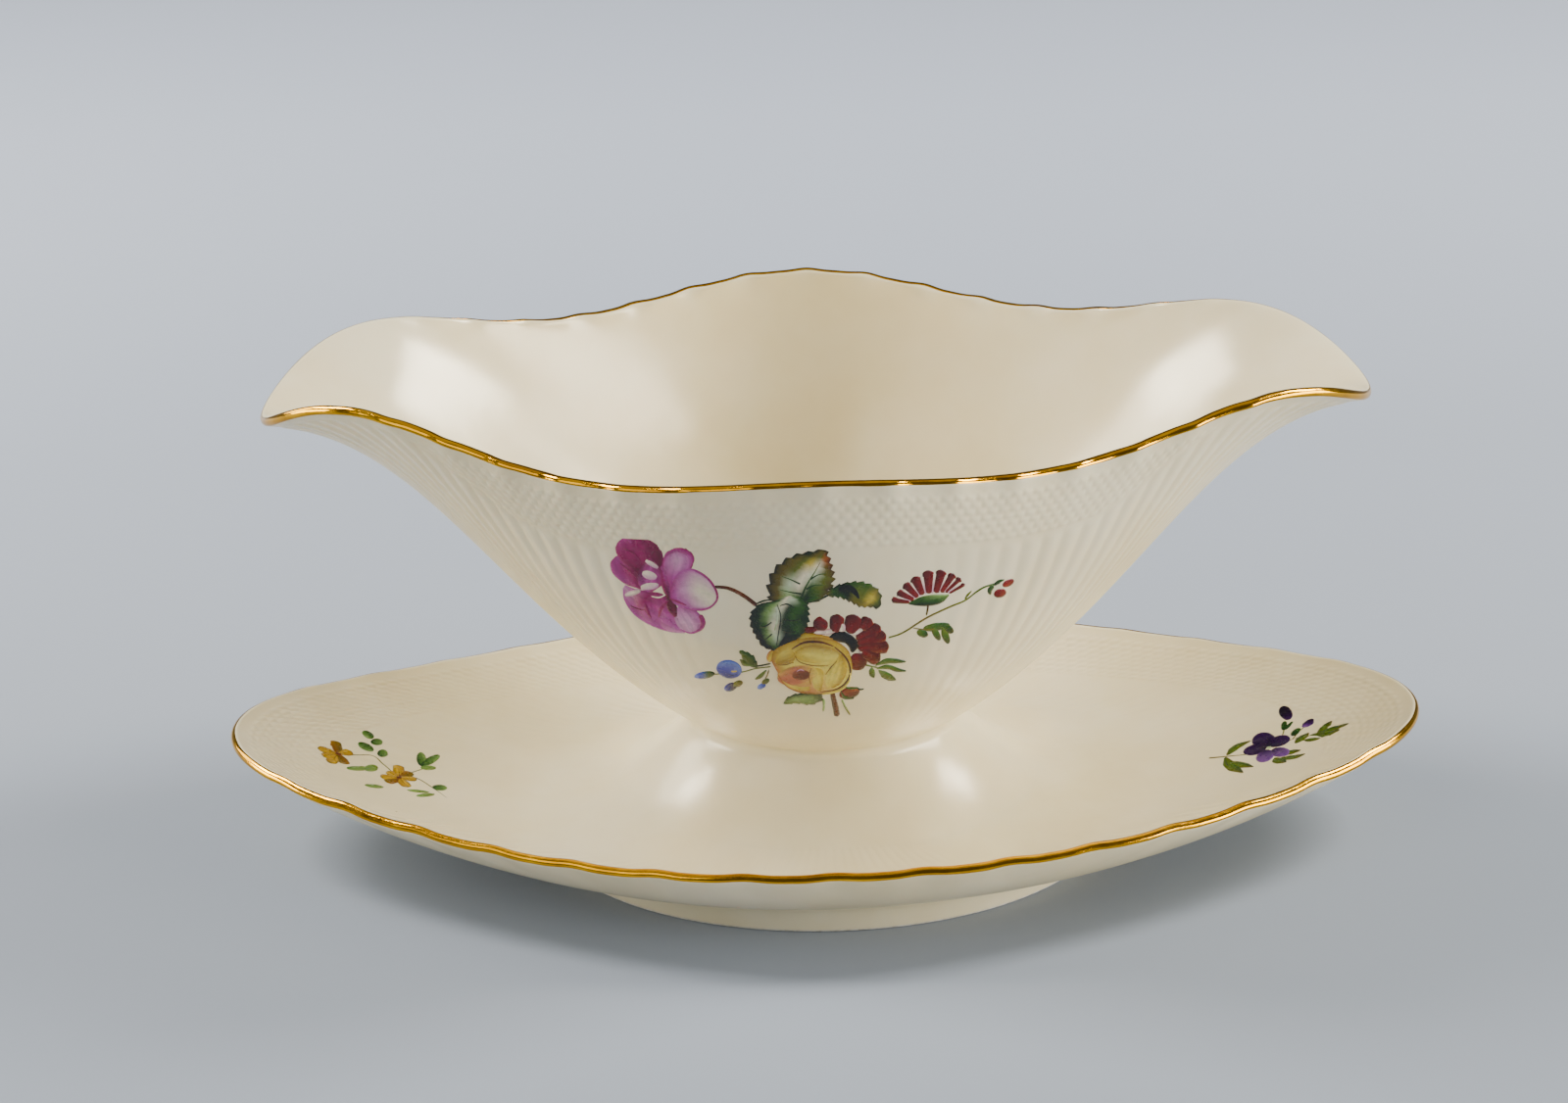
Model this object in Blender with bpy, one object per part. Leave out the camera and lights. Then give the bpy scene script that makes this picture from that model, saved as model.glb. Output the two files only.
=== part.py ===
"""Sauce boat on a fixed stand: a porcelain bowl with a pouring lip at each end, luted on a hollow pedestal
to a leaf-shaped dish with an oval foot ring, and a fired gold band on each of the two rims.

Metres, +Z up. The origin is on the table, under the middle of the foot ring. X runs from lip to lip.
Every surface is a loft round the Z axis: station angle 0 is the +X lip and 90 degrees is the +Y side.
"""

import math

import bmesh
import bpy
from mathutils import Vector
from mathutils.bvhtree import BVHTree

# Bowl
BOAT_LENGTH = 0.2216
BOAT_WIDTH = 0.1328
BOAT_PINCH = 0.0049  # how far the shoulders draw in between the belly and the lips
BOAT_SWELL = 0.0038  # how far the lips swell out again beyond the shoulders
BOAT_RIM_HEIGHT = 0.0983  # mean height of the gold edge over the table
BOAT_RIM_WAVES = {2: -0.00145, 4: -0.00277, 6: -0.00325, 8: 0.0005}  # rise and fall of the edge, by harmonic
BOAT_WALL = 0.0030
BOAT_KEEL_HANDLES = ((0.43, 0.32), (0.61, 1.00))  # under a lip: hollow, then flaring out
BOAT_SIDE_HANDLES = ((0.50, 0.15), (0.95, 0.45))  # at the side: a full belly
BOWL_DROP = 0.0080  # how far the bowl's floor hangs down inside the pedestal

# Pedestal
WAIST_LENGTH = 0.0554
WAIST_WIDTH = 0.0490
WAIST_HEIGHT = 0.0277
SKIRT_LENGTH = 0.0880
SKIRT_WIDTH = 0.0770
SKIRT_HEIGHT = 0.0123
WAIST_HANDLE = (0.02, 0.44)  # share of the way out and down from the waist: nearly straight down
SKIRT_REACH = 0.0092  # how far up the pedestal the slope of the dish carries on

# Dish
STAND_LENGTH = 0.2434
STAND_WIDTH = 0.1320
STAND_PINCH = 0.0045
STAND_SWELL = 0.0007
STAND_RIM_HEIGHT = 0.0231
STAND_RIM_WAVES = {2: 0.0028, 4: 0.0004}
STAND_WALL = 0.0032
WELL_HEIGHT = 0.0075  # height of the handles that hold the dish's floor down
STAND_KEEL_HANDLES = (0.15, 0.59)
STAND_SIDE_HANDLES = (0.30, 0.72)

# Foot ring
FOOT_OUTSET_X = 0.0140  # how far the ring's outer edge lies beyond the skirt, towards a lip
FOOT_OUTSET_Y = 0.0115  # and towards a side
FOOT_TREAD = 0.0040  # width of the flat that stands on the table
FOOT_TAPER = 0.0010  # how much wider each side of the ring is where it meets the dish

# Gold bands
GILT_HEIGHT = 0.0008
GILT_CROWN = 0.22  # share of the wall that the band's rounding takes at each edge

LUTING_GAP = 0.0003  # clearance between luted pieces
LIP_TAPER = 0.7  # share of the wall that is left at a lip
TAPER_FROM = 0.75  # share of the way to the lip at which the wall starts to thin
ARRIS = 0.0006  # rounding of the clay edges
SLOPE_STEP = 0.001  # step of angle or share over which a slope is taken
STATIONS = 96
BOAT_RINGS = 11
FLOOR_RINGS = 3
PEDESTAL_RINGS = 6
DISH_RINGS = 9

PORCELAIN = (0.80, 0.74, 0.60)
GOLD = (0.83, 0.55, 0.16)


def clear_scene():
    for obj in list(bpy.data.objects):
        bpy.data.objects.remove(obj)


def material(name, colour, roughness, metallic):
    made = bpy.data.materials.new(name)
    made.use_nodes = True
    shader = made.node_tree.nodes["Principled BSDF"]
    shader.inputs["Base Color"].default_value = (*colour, 1.0)
    shader.inputs["Roughness"].default_value = roughness
    shader.inputs["Metallic"].default_value = metallic
    made.diffuse_color = (*colour, 1.0)
    return made


def stations():
    return [2 * math.pi * i / STATIONS for i in range(STATIONS)]


def shares(count):
    """Evenly spaced shares from 0 to 1."""
    return [i / (count - 1) for i in range(count)]


def leaf_edge(angle, length, width, pinch, swell, height, waves):
    """Point of a pointed, double-curved oval edge that rises and falls, at a station angle."""
    first = width / 2 - pinch - swell
    y = first * math.sin(angle) - pinch * math.sin(3 * angle) + swell * math.sin(5 * angle)
    z = height + sum(rise * math.cos(order * angle) for order, rise in waves.items())
    return Vector((length / 2 * math.cos(angle), y, z))


def oval(angle, length, width, height):
    return Vector((length / 2 * math.cos(angle), width / 2 * math.sin(angle), height))


def boat_edge(angle):
    return leaf_edge(
        angle, BOAT_LENGTH, BOAT_WIDTH, BOAT_PINCH, BOAT_SWELL, BOAT_RIM_HEIGHT, BOAT_RIM_WAVES
    )


def stand_edge(angle):
    return leaf_edge(
        angle, STAND_LENGTH, STAND_WIDTH, STAND_PINCH, STAND_SWELL, STAND_RIM_HEIGHT, STAND_RIM_WAVES
    )


def waist(angle):
    return oval(angle, WAIST_LENGTH, WAIST_WIDTH, WAIST_HEIGHT)


def skirt(angle):
    return oval(angle, SKIRT_LENGTH, SKIRT_WIDTH, SKIRT_HEIGHT)


def bezier(a, b, c, d, t):
    s = 1 - t
    return s**3 * a + 3 * s * s * t * b + 3 * s * t * t * c + t**3 * d


def between(low, high, across, up):
    """Point this share of the way across and up from one ring's point to another's."""
    flat = low.lerp(high, across)
    return Vector((flat.x, flat.y, low.z + (high.z - low.z) * up))


def sideways(angle):
    """0 under the lips and 1 at the sides."""
    return math.sin(angle) ** 2


def mixed(keel, side, angle):
    return keel + (side - keel) * sideways(angle)


def bowl_handles(angle):
    low, high = waist(angle), boat_edge(angle)
    return [
        between(low, high, mixed(keel[0], side[0], angle), mixed(keel[1], side[1], angle))
        for keel, side in zip(BOAT_KEEL_HANDLES, BOAT_SIDE_HANDLES)
    ]


def bowl_point(angle, t):
    """Outer face of the bowl, from the waist at t = 0 to the edge at t = 1."""
    first, second = bowl_handles(angle)
    return bezier(waist(angle), first, second, boat_edge(angle), t)


def floor_point(angle, t):
    """Outer face of the bowl's floor, from its middle at t = 0 to the waist at t = 1, running on smoothly."""
    edge = waist(angle)
    ahead = bowl_handles(angle)[0] - edge
    slope = ahead.z / ahead.to_2d().length
    power = max(1.5, slope * edge.to_2d().length / BOWL_DROP)
    return Vector((edge.x * t, edge.y * t, WAIST_HEIGHT - BOWL_DROP * (1 - t**power)))


def dish_handles(angle):
    handles = []
    for keel, side in zip(STAND_KEEL_HANDLES, STAND_SIDE_HANDLES):
        flat = skirt(angle).lerp(stand_edge(angle), mixed(keel, side, angle))
        handles.append(Vector((flat.x, flat.y, WELL_HEIGHT)))
    return handles


def dish_point(angle, t):
    """Upper face of the dish, from the skirt at t = 0 to the edge at t = 1."""
    first, second = dish_handles(angle)
    return bezier(skirt(angle), first, second, stand_edge(angle), t)


def pedestal_point(angle, t):
    """Outer face of the pedestal, from the waist at t = 0 to the skirt at t = 1, where it meets the dish's slope."""
    high, low = waist(angle), skirt(angle)
    first = between(high, low, *WAIST_HANDLE)
    second = low + (low - dish_handles(angle)[0]).normalized() * SKIRT_REACH
    return bezier(high, first, second, low, t)


def rings_of(point, steps):
    return [[point(angle, step) for angle in stations()] for step in steps]


def loft(name, rings, closed=False, middle=None):
    """Object with quads between successive rings.

    closed joins the last ring to the first. middle is a point that the first ring is filled to.
    """
    mesh = bmesh.new()
    loops = [[mesh.verts.new(point) for point in ring] for ring in rings]
    pairs = list(zip(loops, loops[1:]))
    if closed:
        pairs.append((loops[-1], loops[0]))
    for near, far in pairs:
        for i in range(STATIONS):
            j = (i + 1) % STATIONS
            mesh.faces.new((near[i], near[j], far[j], far[i]))
    if middle is not None:
        centre = mesh.verts.new(middle)
        for i in range(STATIONS):
            mesh.faces.new((centre, loops[0][(i + 1) % STATIONS], loops[0][i]))
    bmesh.ops.recalc_face_normals(mesh, faces=mesh.faces)
    data = bpy.data.meshes.new(name)
    mesh.to_mesh(data)
    mesh.free()
    obj = bpy.data.objects.new(name, data)
    bpy.context.scene.collection.objects.link(obj)
    return obj


def thin_towards_lip(obj, rings):
    """Weights of 1 where the wall is whole, falling to 0 at the last ring, which is the lip."""
    group = obj.vertex_groups.new(name="wall")
    for index in range(len(obj.data.vertices)):
        ring = min(index // STATIONS, rings - 1)
        past = (ring / (rings - 1) - TAPER_FROM) / (1 - TAPER_FROM)
        group.add([index], 1 - max(0.0, past), "REPLACE")
    return group.name


def make_solid(obj, wall, rings):
    """Thickens a sheet away from its outward side, thinner towards the lip."""
    solidify = obj.modifiers.new("wall", "SOLIDIFY")
    solidify.thickness = wall
    solidify.offset = -1.0
    solidify.use_even_offset = True
    solidify.vertex_group = thin_towards_lip(obj, rings)
    solidify.thickness_vertex_group = LIP_TAPER
    bevel = obj.modifiers.new("rounded_edge", "BEVEL")
    bevel.width = ARRIS
    bevel.segments = 1
    bevel.limit_method = "ANGLE"
    bevel.angle_limit = math.radians(55)


def finish(obj, made):
    obj.data.materials.append(made)
    obj.data.shade_smooth()
    obj.data.set_sharp_from_angle(angle=math.radians(40))


def turn_sheet(obj, upward):
    """Turns an open sheet so that its normals point up or down at the ring farthest out."""
    outermost = max(obj.data.polygons, key=lambda face: face.center.to_2d().length)
    if (outermost.normal.z > 0) != upward:
        obj.data.flip_normals()


def edge_frame(point, angle):
    """Unit vectors at a sheet's edge: on along the wall past the edge, and through the wall."""
    step = SLOPE_STEP
    ahead = (point(angle, 1) - point(angle, 1 - step)).normalized()
    round_edge = (point(angle + step, 1) - point(angle - step, 1)).normalized()
    across = round_edge.cross(ahead).normalized()
    return ahead, -across


def share_of(length, point, angle, t):
    """How large a share of a face a short length of it takes up, near t."""
    return length * SLOPE_STEP / (point(angle, t + SLOPE_STEP) - point(angle, t)).length


def trimmed(point):
    """The same face, ending short of its edge so that the gold band brings it to its full height."""

    def shorter(angle, t):
        return point(angle, t * (1 - share_of(GILT_HEIGHT + LUTING_GAP, point, angle, 1)))

    return shorter


def make_gold_band(name, gold, face, wall, side):
    """A low crowned band along a lip. side is 1 where the wall lies behind the face given, or else -1."""
    edge = trimmed(face)
    section = ((0, 0), (GILT_CROWN, GILT_HEIGHT), (1 - GILT_CROWN, GILT_HEIGHT), (1, 0))
    rings = [[] for _ in section]
    for angle in stations():
        ahead, across = edge_frame(edge, angle)
        start = edge(angle, 1) + ahead * LUTING_GAP
        for ring, (share, rise) in zip(rings, section):
            ring.append(start + across * (side * wall * share) + ahead * rise)
    band = loft(name, rings, closed=True)
    finish(band, gold)
    return band


def make_boat(porcelain):
    face = trimmed(bowl_point)
    floor = rings_of(floor_point, shares(FLOOR_RINGS + 1)[1:-1])
    side = rings_of(face, shares(BOAT_RINGS))
    rings = floor + side
    boat = loft("boat", rings, middle=floor_point(0, 0))
    turn_sheet(boat, upward=False)
    make_solid(boat, BOAT_WALL, len(rings))
    finish(boat, porcelain)
    return boat


def surface_of(obj):
    """Search tree of an object's finished surface."""
    bpy.context.view_layer.update()
    return BVHTree.FromObject(obj, bpy.context.evaluated_depsgraph_get())


def height_on(tree, x, y):
    """Height at which a vertical line through x, y meets a surface from below."""
    up = Vector((0, 0, 1))
    return tree.ray_cast(Vector((x, y, -1)), up)[0].z


def behind(point, angle, t, wall):
    """The point this far behind a face, square to it."""
    step = SLOPE_STEP
    along = point(angle, t + step) - point(angle, t - step)
    round_it = point(angle + step, t) - point(angle - step, t)
    return point(angle, t) + round_it.cross(along).normalized() * wall


def make_pedestal(porcelain, boat):
    """Hollow sleeve whose upper end follows the underside of the bowl."""
    under_boat = surface_of(boat)
    outer = rings_of(pedestal_point, shares(PEDESTAL_RINGS))
    inner = [
        [behind(pedestal_point, angle, share, STAND_WALL) for angle in stations()]
        for share in shares(PEDESTAL_RINGS)
    ]
    for point in outer[0] + inner[0]:
        point.z = height_on(under_boat, point.x, point.y) - LUTING_GAP
    pedestal = loft("pedestal", outer + inner[::-1], closed=True)
    finish(pedestal, porcelain)
    return pedestal


def make_dish(porcelain):
    face = trimmed(dish_point)

    def clear_of_pedestal(angle, t):
        start = share_of(LUTING_GAP, dish_point, angle, 0)
        return face(angle, start + (1 - start) * t)

    dish = loft("stand", rings_of(clear_of_pedestal, shares(DISH_RINGS)))
    turn_sheet(dish, upward=True)
    make_solid(dish, STAND_WALL, DISH_RINGS)
    finish(dish, porcelain)
    return dish


def make_foot_ring(porcelain, dish):
    """Oval ring that widens upwards on both faces and follows the underside of the dish."""
    under_dish = surface_of(dish)

    def ring_at(inset):
        length = SKIRT_LENGTH + 2 * (FOOT_OUTSET_X - inset)
        width = SKIRT_WIDTH + 2 * (FOOT_OUTSET_Y - inset)
        return [oval(angle, length, width, 0) for angle in stations()]

    top = [ring_at(inset) for inset in (-FOOT_TAPER, FOOT_TREAD / 2, FOOT_TREAD + FOOT_TAPER)]
    for points in top:
        for point in points:
            point.z = height_on(under_dish, point.x, point.y) - LUTING_GAP
    ring = loft("foot_ring", [ring_at(0.0), *top, ring_at(FOOT_TREAD)], closed=True)
    finish(ring, porcelain)
    return ring


def main():
    clear_scene()
    porcelain = material("cream_porcelain", PORCELAIN, 0.12, 0.0)
    gold = material("fired_gold", GOLD, 0.22, 1.0)
    boat = make_boat(porcelain)
    make_pedestal(porcelain, boat)
    dish = make_dish(porcelain)
    make_foot_ring(porcelain, dish)
    make_gold_band("boat_gold_band", gold, bowl_point, BOAT_WALL * LIP_TAPER, 1)
    make_gold_band("stand_gold_band", gold, dish_point, STAND_WALL * LIP_TAPER, -1)


main()
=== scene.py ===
"""Sauce boat on a fixed stand: fine porcelain surfaces with moulded osier relief, fired gold edges and
enamel flowers, standing on a pale studio floor.

Shapes are worked out in millimetres and built in metres. The boat's long way is X, and the camera looks
along +Y. Closed curves run through angles a from 0 at the +X end, over pi/2 at the back.
"""

import math

import bpy
import numpy as np
from mathutils import Matrix, Vector
from mathutils.bvhtree import BVHTree


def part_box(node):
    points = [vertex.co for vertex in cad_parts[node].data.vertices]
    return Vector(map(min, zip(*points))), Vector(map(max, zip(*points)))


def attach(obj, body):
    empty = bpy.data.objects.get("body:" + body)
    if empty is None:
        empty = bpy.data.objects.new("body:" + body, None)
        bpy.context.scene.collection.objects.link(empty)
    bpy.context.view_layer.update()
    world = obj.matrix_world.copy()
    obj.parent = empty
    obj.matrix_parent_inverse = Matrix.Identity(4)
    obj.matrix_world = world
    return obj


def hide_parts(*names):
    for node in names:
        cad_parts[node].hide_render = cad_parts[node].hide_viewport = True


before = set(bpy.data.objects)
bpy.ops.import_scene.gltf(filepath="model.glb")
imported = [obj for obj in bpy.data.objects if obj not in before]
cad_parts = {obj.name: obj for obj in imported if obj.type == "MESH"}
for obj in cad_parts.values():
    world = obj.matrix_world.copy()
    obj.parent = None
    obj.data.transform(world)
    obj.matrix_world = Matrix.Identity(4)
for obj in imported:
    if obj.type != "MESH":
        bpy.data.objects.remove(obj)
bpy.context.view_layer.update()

MM = 0.001


# ---------------------------------------------------------------- sizes taken from the CAD frame


def far_corner(node):
    """Largest x, y and z of a CAD node's box."""
    return np.array(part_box(node)[1]) / MM


GILT_HIGH = far_corner("boat_gold_band")
DISH_HIGH = far_corner("stand_gold_band")
PEDESTAL_HIGH = far_corner("pedestal")
FOOT_HIGH = far_corner("foot_ring")

# Edge curves: x = middle + half * cos(a), y = sum of sines, z = sum of cosines, and y is then scaled to
# half_width at a = pi/2. The odd terms of z and the even terms of y are the small differences between the
# two ends that hand finishing leaves.
BOAT_EDGE = {
    "middle": -0.6,
    "half": GILT_HIGH[0] + 0.1,
    "sines": (56.8, -0.2, -5.3, 0.57, 3.36, -0.4, -0.58),
    "cosines": (98.45, -0.26, -1.13, 0.05, -2.43, 0.14, -2.87, 0.19, 0.56),
    "half_width": GILT_HIGH[1] - 0.45,
}
STAND_EDGE = {
    "middle": 0.1,
    "half": DISH_HIGH[0] - 0.9,
    "sines": (61.9, 0.0, -4.7, 0.14, 0.9, -0.17, 0.2),
    "cosines": (22.9, 0.2, 2.4, -0.25, 0.55, 0.0, -0.2),
    "half_width": DISH_HIGH[1] - 1.6,
}

# Ovals where one face passes into the next: half-length, half-width, height.
WAIST = (27.7, 24.5, 27.7)
SKIRT = (PEDESTAL_HIGH[0], PEDESTAL_HIGH[1], 12.3)

# Bezier handles of the bowl's wall at its ends and at its sides, as shares of the way out and of the way up.
KEEL_HANDLES = ((0.43, 0.32), (0.61, 1.00))
SIDE_HANDLES = ((0.50, 0.15), (0.95, 0.45))

# Bezier handles of the dish, as shares of the way out. Both lie at the height of the well.
DISH_KEEL = (0.15, 0.59)
DISH_SIDE = (0.30, 0.72)
WELL_HEIGHT = 7.5

BOWL_DROP = 8.0  # how far the middle of the bowl's floor lies under the waist
PEDESTAL_HANDLE = (0.02, 0.20)  # its upper Bezier handle, as shares of the way out and of the way down
SKIRT_REACH = 9.2  # length of its lower one

# Foot ring: half-length, half-width and width of the tread.
FOOT = (FOOT_HIGH[0] - 1.0, FOOT_HIGH[1] - 1.0, 4.0)

BOAT_STATIONS = 1440
STAND_STATIONS = 1536
UP = np.array([0, 0, 1.0])


# ---------------------------------------------------------------- curves and faces


def edge_curve(angle, spec):
    """Points of an edge at these angles."""
    wide = sum(c * np.sin((k + 1) * angle) for k, c in enumerate(spec["sines"]))
    peak = sum(c * math.sin((k + 1) * math.pi / 2) for k, c in enumerate(spec["sines"]))
    z = sum(c * np.cos(k * angle) for k, c in enumerate(spec["cosines"]))
    x = spec["middle"] + spec["half"] * np.cos(angle)
    return np.stack([x, wide * spec["half_width"] / peak, z], -1)


def oval(angle, half_length, half_width, height):
    flat = np.zeros_like(angle)
    return np.stack([half_length * np.cos(angle), half_width * np.sin(angle), flat + height], -1)


def even_angles(curve, count):
    """Angles at which points lie evenly spaced along a closed curve, and the curve's length."""
    dense = np.linspace(0, 2 * np.pi, 8001)
    steps = np.linalg.norm(np.diff(curve(dense), axis=0), axis=1)
    run = np.concatenate([[0], np.cumsum(steps)])
    return np.interp(np.arange(count) / count * run[-1], run, dense), run[-1]


def bezier(a, b, c, d, t):
    s = 1 - t
    return s**3 * a + 3 * s * s * t * b + 3 * s * t * t * c + t**3 * d


def between(low, high, across, up):
    """Points a share across of the way from low to high in plan, and a share up of it in height."""
    flat = low + (high - low) * across[..., None]
    flat[..., 2] = low[..., 2] + (high[..., 2] - low[..., 2]) * up
    return flat


def mixed(keel, side, angle):
    """A value that is keel at both ends of the oval and side halfway between them."""
    return keel + (side - keel) * np.sin(angle) ** 2


def boat_face(angle, t):
    """Outer face of the bowl from the waist at t = 0 to the edge at t = 1."""
    low, high = oval(angle, *WAIST), edge_curve(angle, BOAT_EDGE)
    handles = [
        between(low, high, mixed(keel[0], side[0], angle), mixed(keel[1], side[1], angle))
        for keel, side in zip(KEEL_HANDLES, SIDE_HANDLES)
    ]
    return bezier(low, *handles, high, t[..., None])


def dish_handles(angle):
    """The two inner control points of the dish's upper face."""
    low, high = oval(angle, *SKIRT), edge_curve(angle, STAND_EDGE)
    handles = []
    for keel, side in zip(DISH_KEEL, DISH_SIDE):
        flat = low + (high - low) * mixed(keel, side, angle)[..., None]
        flat[..., 2] = WELL_HEIGHT
        handles.append(flat)
    return handles


def dish_face(angle, t):
    """Upper face of the dish from the skirt at t = 0 to the edge at t = 1."""
    first, second = dish_handles(angle)
    return bezier(oval(angle, *SKIRT), first, second, edge_curve(angle, STAND_EDGE), t[..., None])


def pedestal_face(angle, t):
    """Outer face of the pedestal from the waist at t = 0 to the skirt at t = 1."""
    high, low = oval(angle, *WAIST), oval(angle, *SKIRT)
    first = between(high, low, np.full_like(angle, PEDESTAL_HANDLE[0]), PEDESTAL_HANDLE[1])
    slope = low - dish_handles(angle)[0]
    second = low + slope / np.linalg.norm(slope, axis=-1, keepdims=True) * SKIRT_REACH
    return bezier(high, first, second, low, t[..., None])


def shares_at(face, angle, distances):
    """Shares t of a face at these distances from its edge, and the whole length of the face, by station.

    distances is rows by stations. A distance beyond the face's length gives t = 0.
    """
    dense = np.linspace(0, 1, 241)
    grid = np.stack([face(angle, np.full_like(angle, t)) for t in dense])
    steps = np.linalg.norm(np.diff(grid, axis=0), axis=2)
    run = np.concatenate([np.zeros((1, len(angle))), np.cumsum(steps, axis=0)])
    left = run[-1] - run
    found = np.empty_like(distances)
    for i in range(len(angle)):
        found[:, i] = np.interp(distances[:, i], left[::-1, i], dense[::-1])
    return found, run[-1]


def grid_normals(points):
    """Unit normals of a grid whose columns close on themselves, rows by stations by 3."""
    along = np.gradient(points, axis=0)
    round_it = np.roll(points, -1, axis=1) - np.roll(points, 1, axis=1)
    normal = np.cross(round_it, along)
    return normal / np.maximum(np.linalg.norm(normal, axis=2, keepdims=True), 1e-9)


def smooth(low, high, value):
    """Eases from 0 where value is low to 1 where it is high."""
    t = np.clip((value - low) / (high - low), 0, 1)
    return t * t * (3 - 2 * t)


# ---------------------------------------------------------------- moulded relief


def scallops(along, length, count, phase):
    """Soft waves round an edge, from -1 to 1, with crests a little narrower than the troughs."""
    turn = 2 * np.pi * (along / length * count + phase)
    return (np.cos(turn) + 0.25 * np.cos(2 * turn) - 0.05) / 1.2


def osier(along, down, length, cell_wide, cell_high):
    """Woven osier: staggered pillows, from 0 in the gaps to 1 on the strands."""
    across = along / length * round(length / cell_wide)
    row = np.floor(down / cell_high)
    x = across + 0.5 * (row % 2)
    y = down / cell_high - row
    return np.abs(np.sin(np.pi * x)) ** 0.7 * np.sin(np.pi * y) ** 0.5


def ribs(along, length, spacing):
    """Softly rounded ribs, from 0 to 1."""
    return np.abs(np.sin(np.pi * along / length * round(length / spacing))) ** 1.4


# ---------------------------------------------------------------- meshes


def mesh_object(name, points, faces):
    """Smooth mesh from points in millimetres and face arrays, each with its own number of corners."""
    mesh = bpy.data.meshes.new(name)
    corners = np.concatenate([np.asarray(block, np.int32).ravel() for block in faces])
    sizes = np.concatenate([np.full(len(block), block.shape[1], np.int32) for block in faces])
    starts = np.concatenate([[0], np.cumsum(sizes)[:-1]]).astype(np.int32)
    mesh.vertices.add(len(points))
    mesh.vertices.foreach_set("co", (np.asarray(points) * MM).astype(np.float32).ravel())
    mesh.loops.add(len(corners))
    mesh.loops.foreach_set("vertex_index", corners)
    mesh.polygons.add(len(sizes))
    mesh.polygons.foreach_set("loop_start", starts)
    mesh.update(calc_edges=True)
    mesh.shade_smooth()
    obj = bpy.data.objects.new(name, mesh)
    bpy.context.scene.collection.objects.link(obj)
    return obj


def grid_faces(rows, columns, closed_rows=False):
    """Quads of a grid that closes round its columns and, if asked, over its rows."""
    last = rows if closed_rows else rows - 1
    row = np.arange(last)[:, None]
    column = np.arange(columns)[None, :]
    nearer, farther = row, (row + 1) % rows
    here, there = column, (column + 1) % columns
    quads = [
        nearer * columns + here,
        nearer * columns + there,
        farther * columns + there,
        farther * columns + here,
    ]
    return np.stack([np.broadcast_to(q, (last, columns)) for q in quads], -1).reshape(-1, 4)


def point_attribute(obj, name, values):
    made = obj.data.attributes.new(name, "FLOAT", "POINT")
    made.data.foreach_set("value", np.asarray(values, np.float32).ravel())


def place(obj, material, slot, *nodes):
    """Gives a piece its material and its body, and hides the CAD nodes that it replaces. slot is not used.
    """
    obj.data.materials.append(material)
    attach(obj, "root")
    if nodes:
        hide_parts(*nodes)
    return obj


class Face:
    """A moulded face as rows of points from its edge inwards, with the place of each point on it.

    band gives the rows' distances from the edge over the moulded part, and rest_rows more rows follow it.
    """

    def __init__(self, face, spec, stations, band, rest_rows):
        self.angle, self.length = even_angles(lambda a: edge_curve(a, spec), stations)
        self.along = (np.arange(stations) / stations * self.length)[None, :]
        _, whole = shares_at(face, self.angle, np.zeros((1, stations)))
        band = band[:, None] + np.zeros((1, stations))
        step = np.linspace(0, 1, rest_rows + 1)[1:, None] ** 1.1
        self.down = np.concatenate([band, band[-1:] + (whole[None] - band[-1:]) * step])
        share, _ = shares_at(face, self.angle, self.down)
        self.points = np.stack([face(self.angle, row) for row in share])
        self.normal = -grid_normals(self.points)


def lip_rows(points, normal, half, count):
    """Rows that carry a face round a rounded lip to the other side of the wall."""
    past = points[0] - points[1]
    past /= np.linalg.norm(past, axis=-1, keepdims=True)
    middle = points[0] - normal[0] * half
    turns = np.linspace(0, np.pi, count + 2)[1:-1, None, None]
    return middle + (normal[0] * np.cos(turns) + past * np.sin(turns)) * half


def closed_body(name, rings, capped):
    """A mesh from rings of points. capped closes each end with a fan, or the last ring meets the first."""
    rows, columns = len(rings), rings.shape[1]
    points = rings.reshape(-1, 3)
    faces = [grid_faces(rows, columns, closed_rows=not capped)]
    if capped:
        here = np.arange(columns)
        there = (here + 1) % columns
        first, last = len(points), len(points) + 1
        top = (rows - 1) * columns
        faces.append(np.stack([there, here, np.full(columns, first)], -1))
        faces.append(np.stack([top + here, top + there, np.full(columns, last)], -1))
        points = np.concatenate([points, [rings[0].mean(0), rings[-1].mean(0)]])
    obj = mesh_object(name, points, faces)
    if signed_volume(points, faces) < 0:
        obj.data.flip_normals()
    return obj


def signed_volume(points, faces):
    total = 0.0
    for block in faces:
        a = points[block[:, 0]]
        for i in range(1, block.shape[1] - 1):
            b, c = points[block[:, i]], points[block[:, i + 1]]
            total += np.einsum("ij,ij->", a, np.cross(b, c))
    return total


# ---------------------------------------------------------------- porcelain

LIP_HALF = 1.05
LIP_ROWS = 9
BOAT_WALL = 3.0
STAND_WALL = 3.1
THICKENING = 26  # distance from the edge at which a wall has its full thickness
RIM_OUTSIDE, RIM_INSIDE = 12, 8  # rows on each side of the lip that the gold may cover
FULL_RELIEF = 0.3  # height of moulding that the glaze shades as fully raised
FIELD_X = -3.0  # middle of the bowl's calmer field under the bouquet

BOWL_OSIER = {"from": 2.2, "to": 13.6, "wide": 2.5, "high": 1.5, "lift": 0.2}
BOWL_RIBS = {"spacing": 5.0, "lift": 0.24}
BOWL_SCALLOPS = {"count": 42, "out": 0.34, "down": 0.16}
BOWL_CALM = 2.4  # how far the scallops show down the inner wall
DISH_OSIER = {"from": 2.4, "to": 15.0, "wide": 2.6, "high": 1.6, "lift": 0.15}
DISH_RIBS = {"spacing": 4.4, "lift": 0.09}
DISH_SCALLOPS = {"count": 34, "out": 0.2, "down": 0.05}

SLEEVE_TOP = 0.17  # share of the pedestal's face where pooled glaze begins
POOL_TOP = 0.03  # share of the bowl's face where it ends


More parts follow.
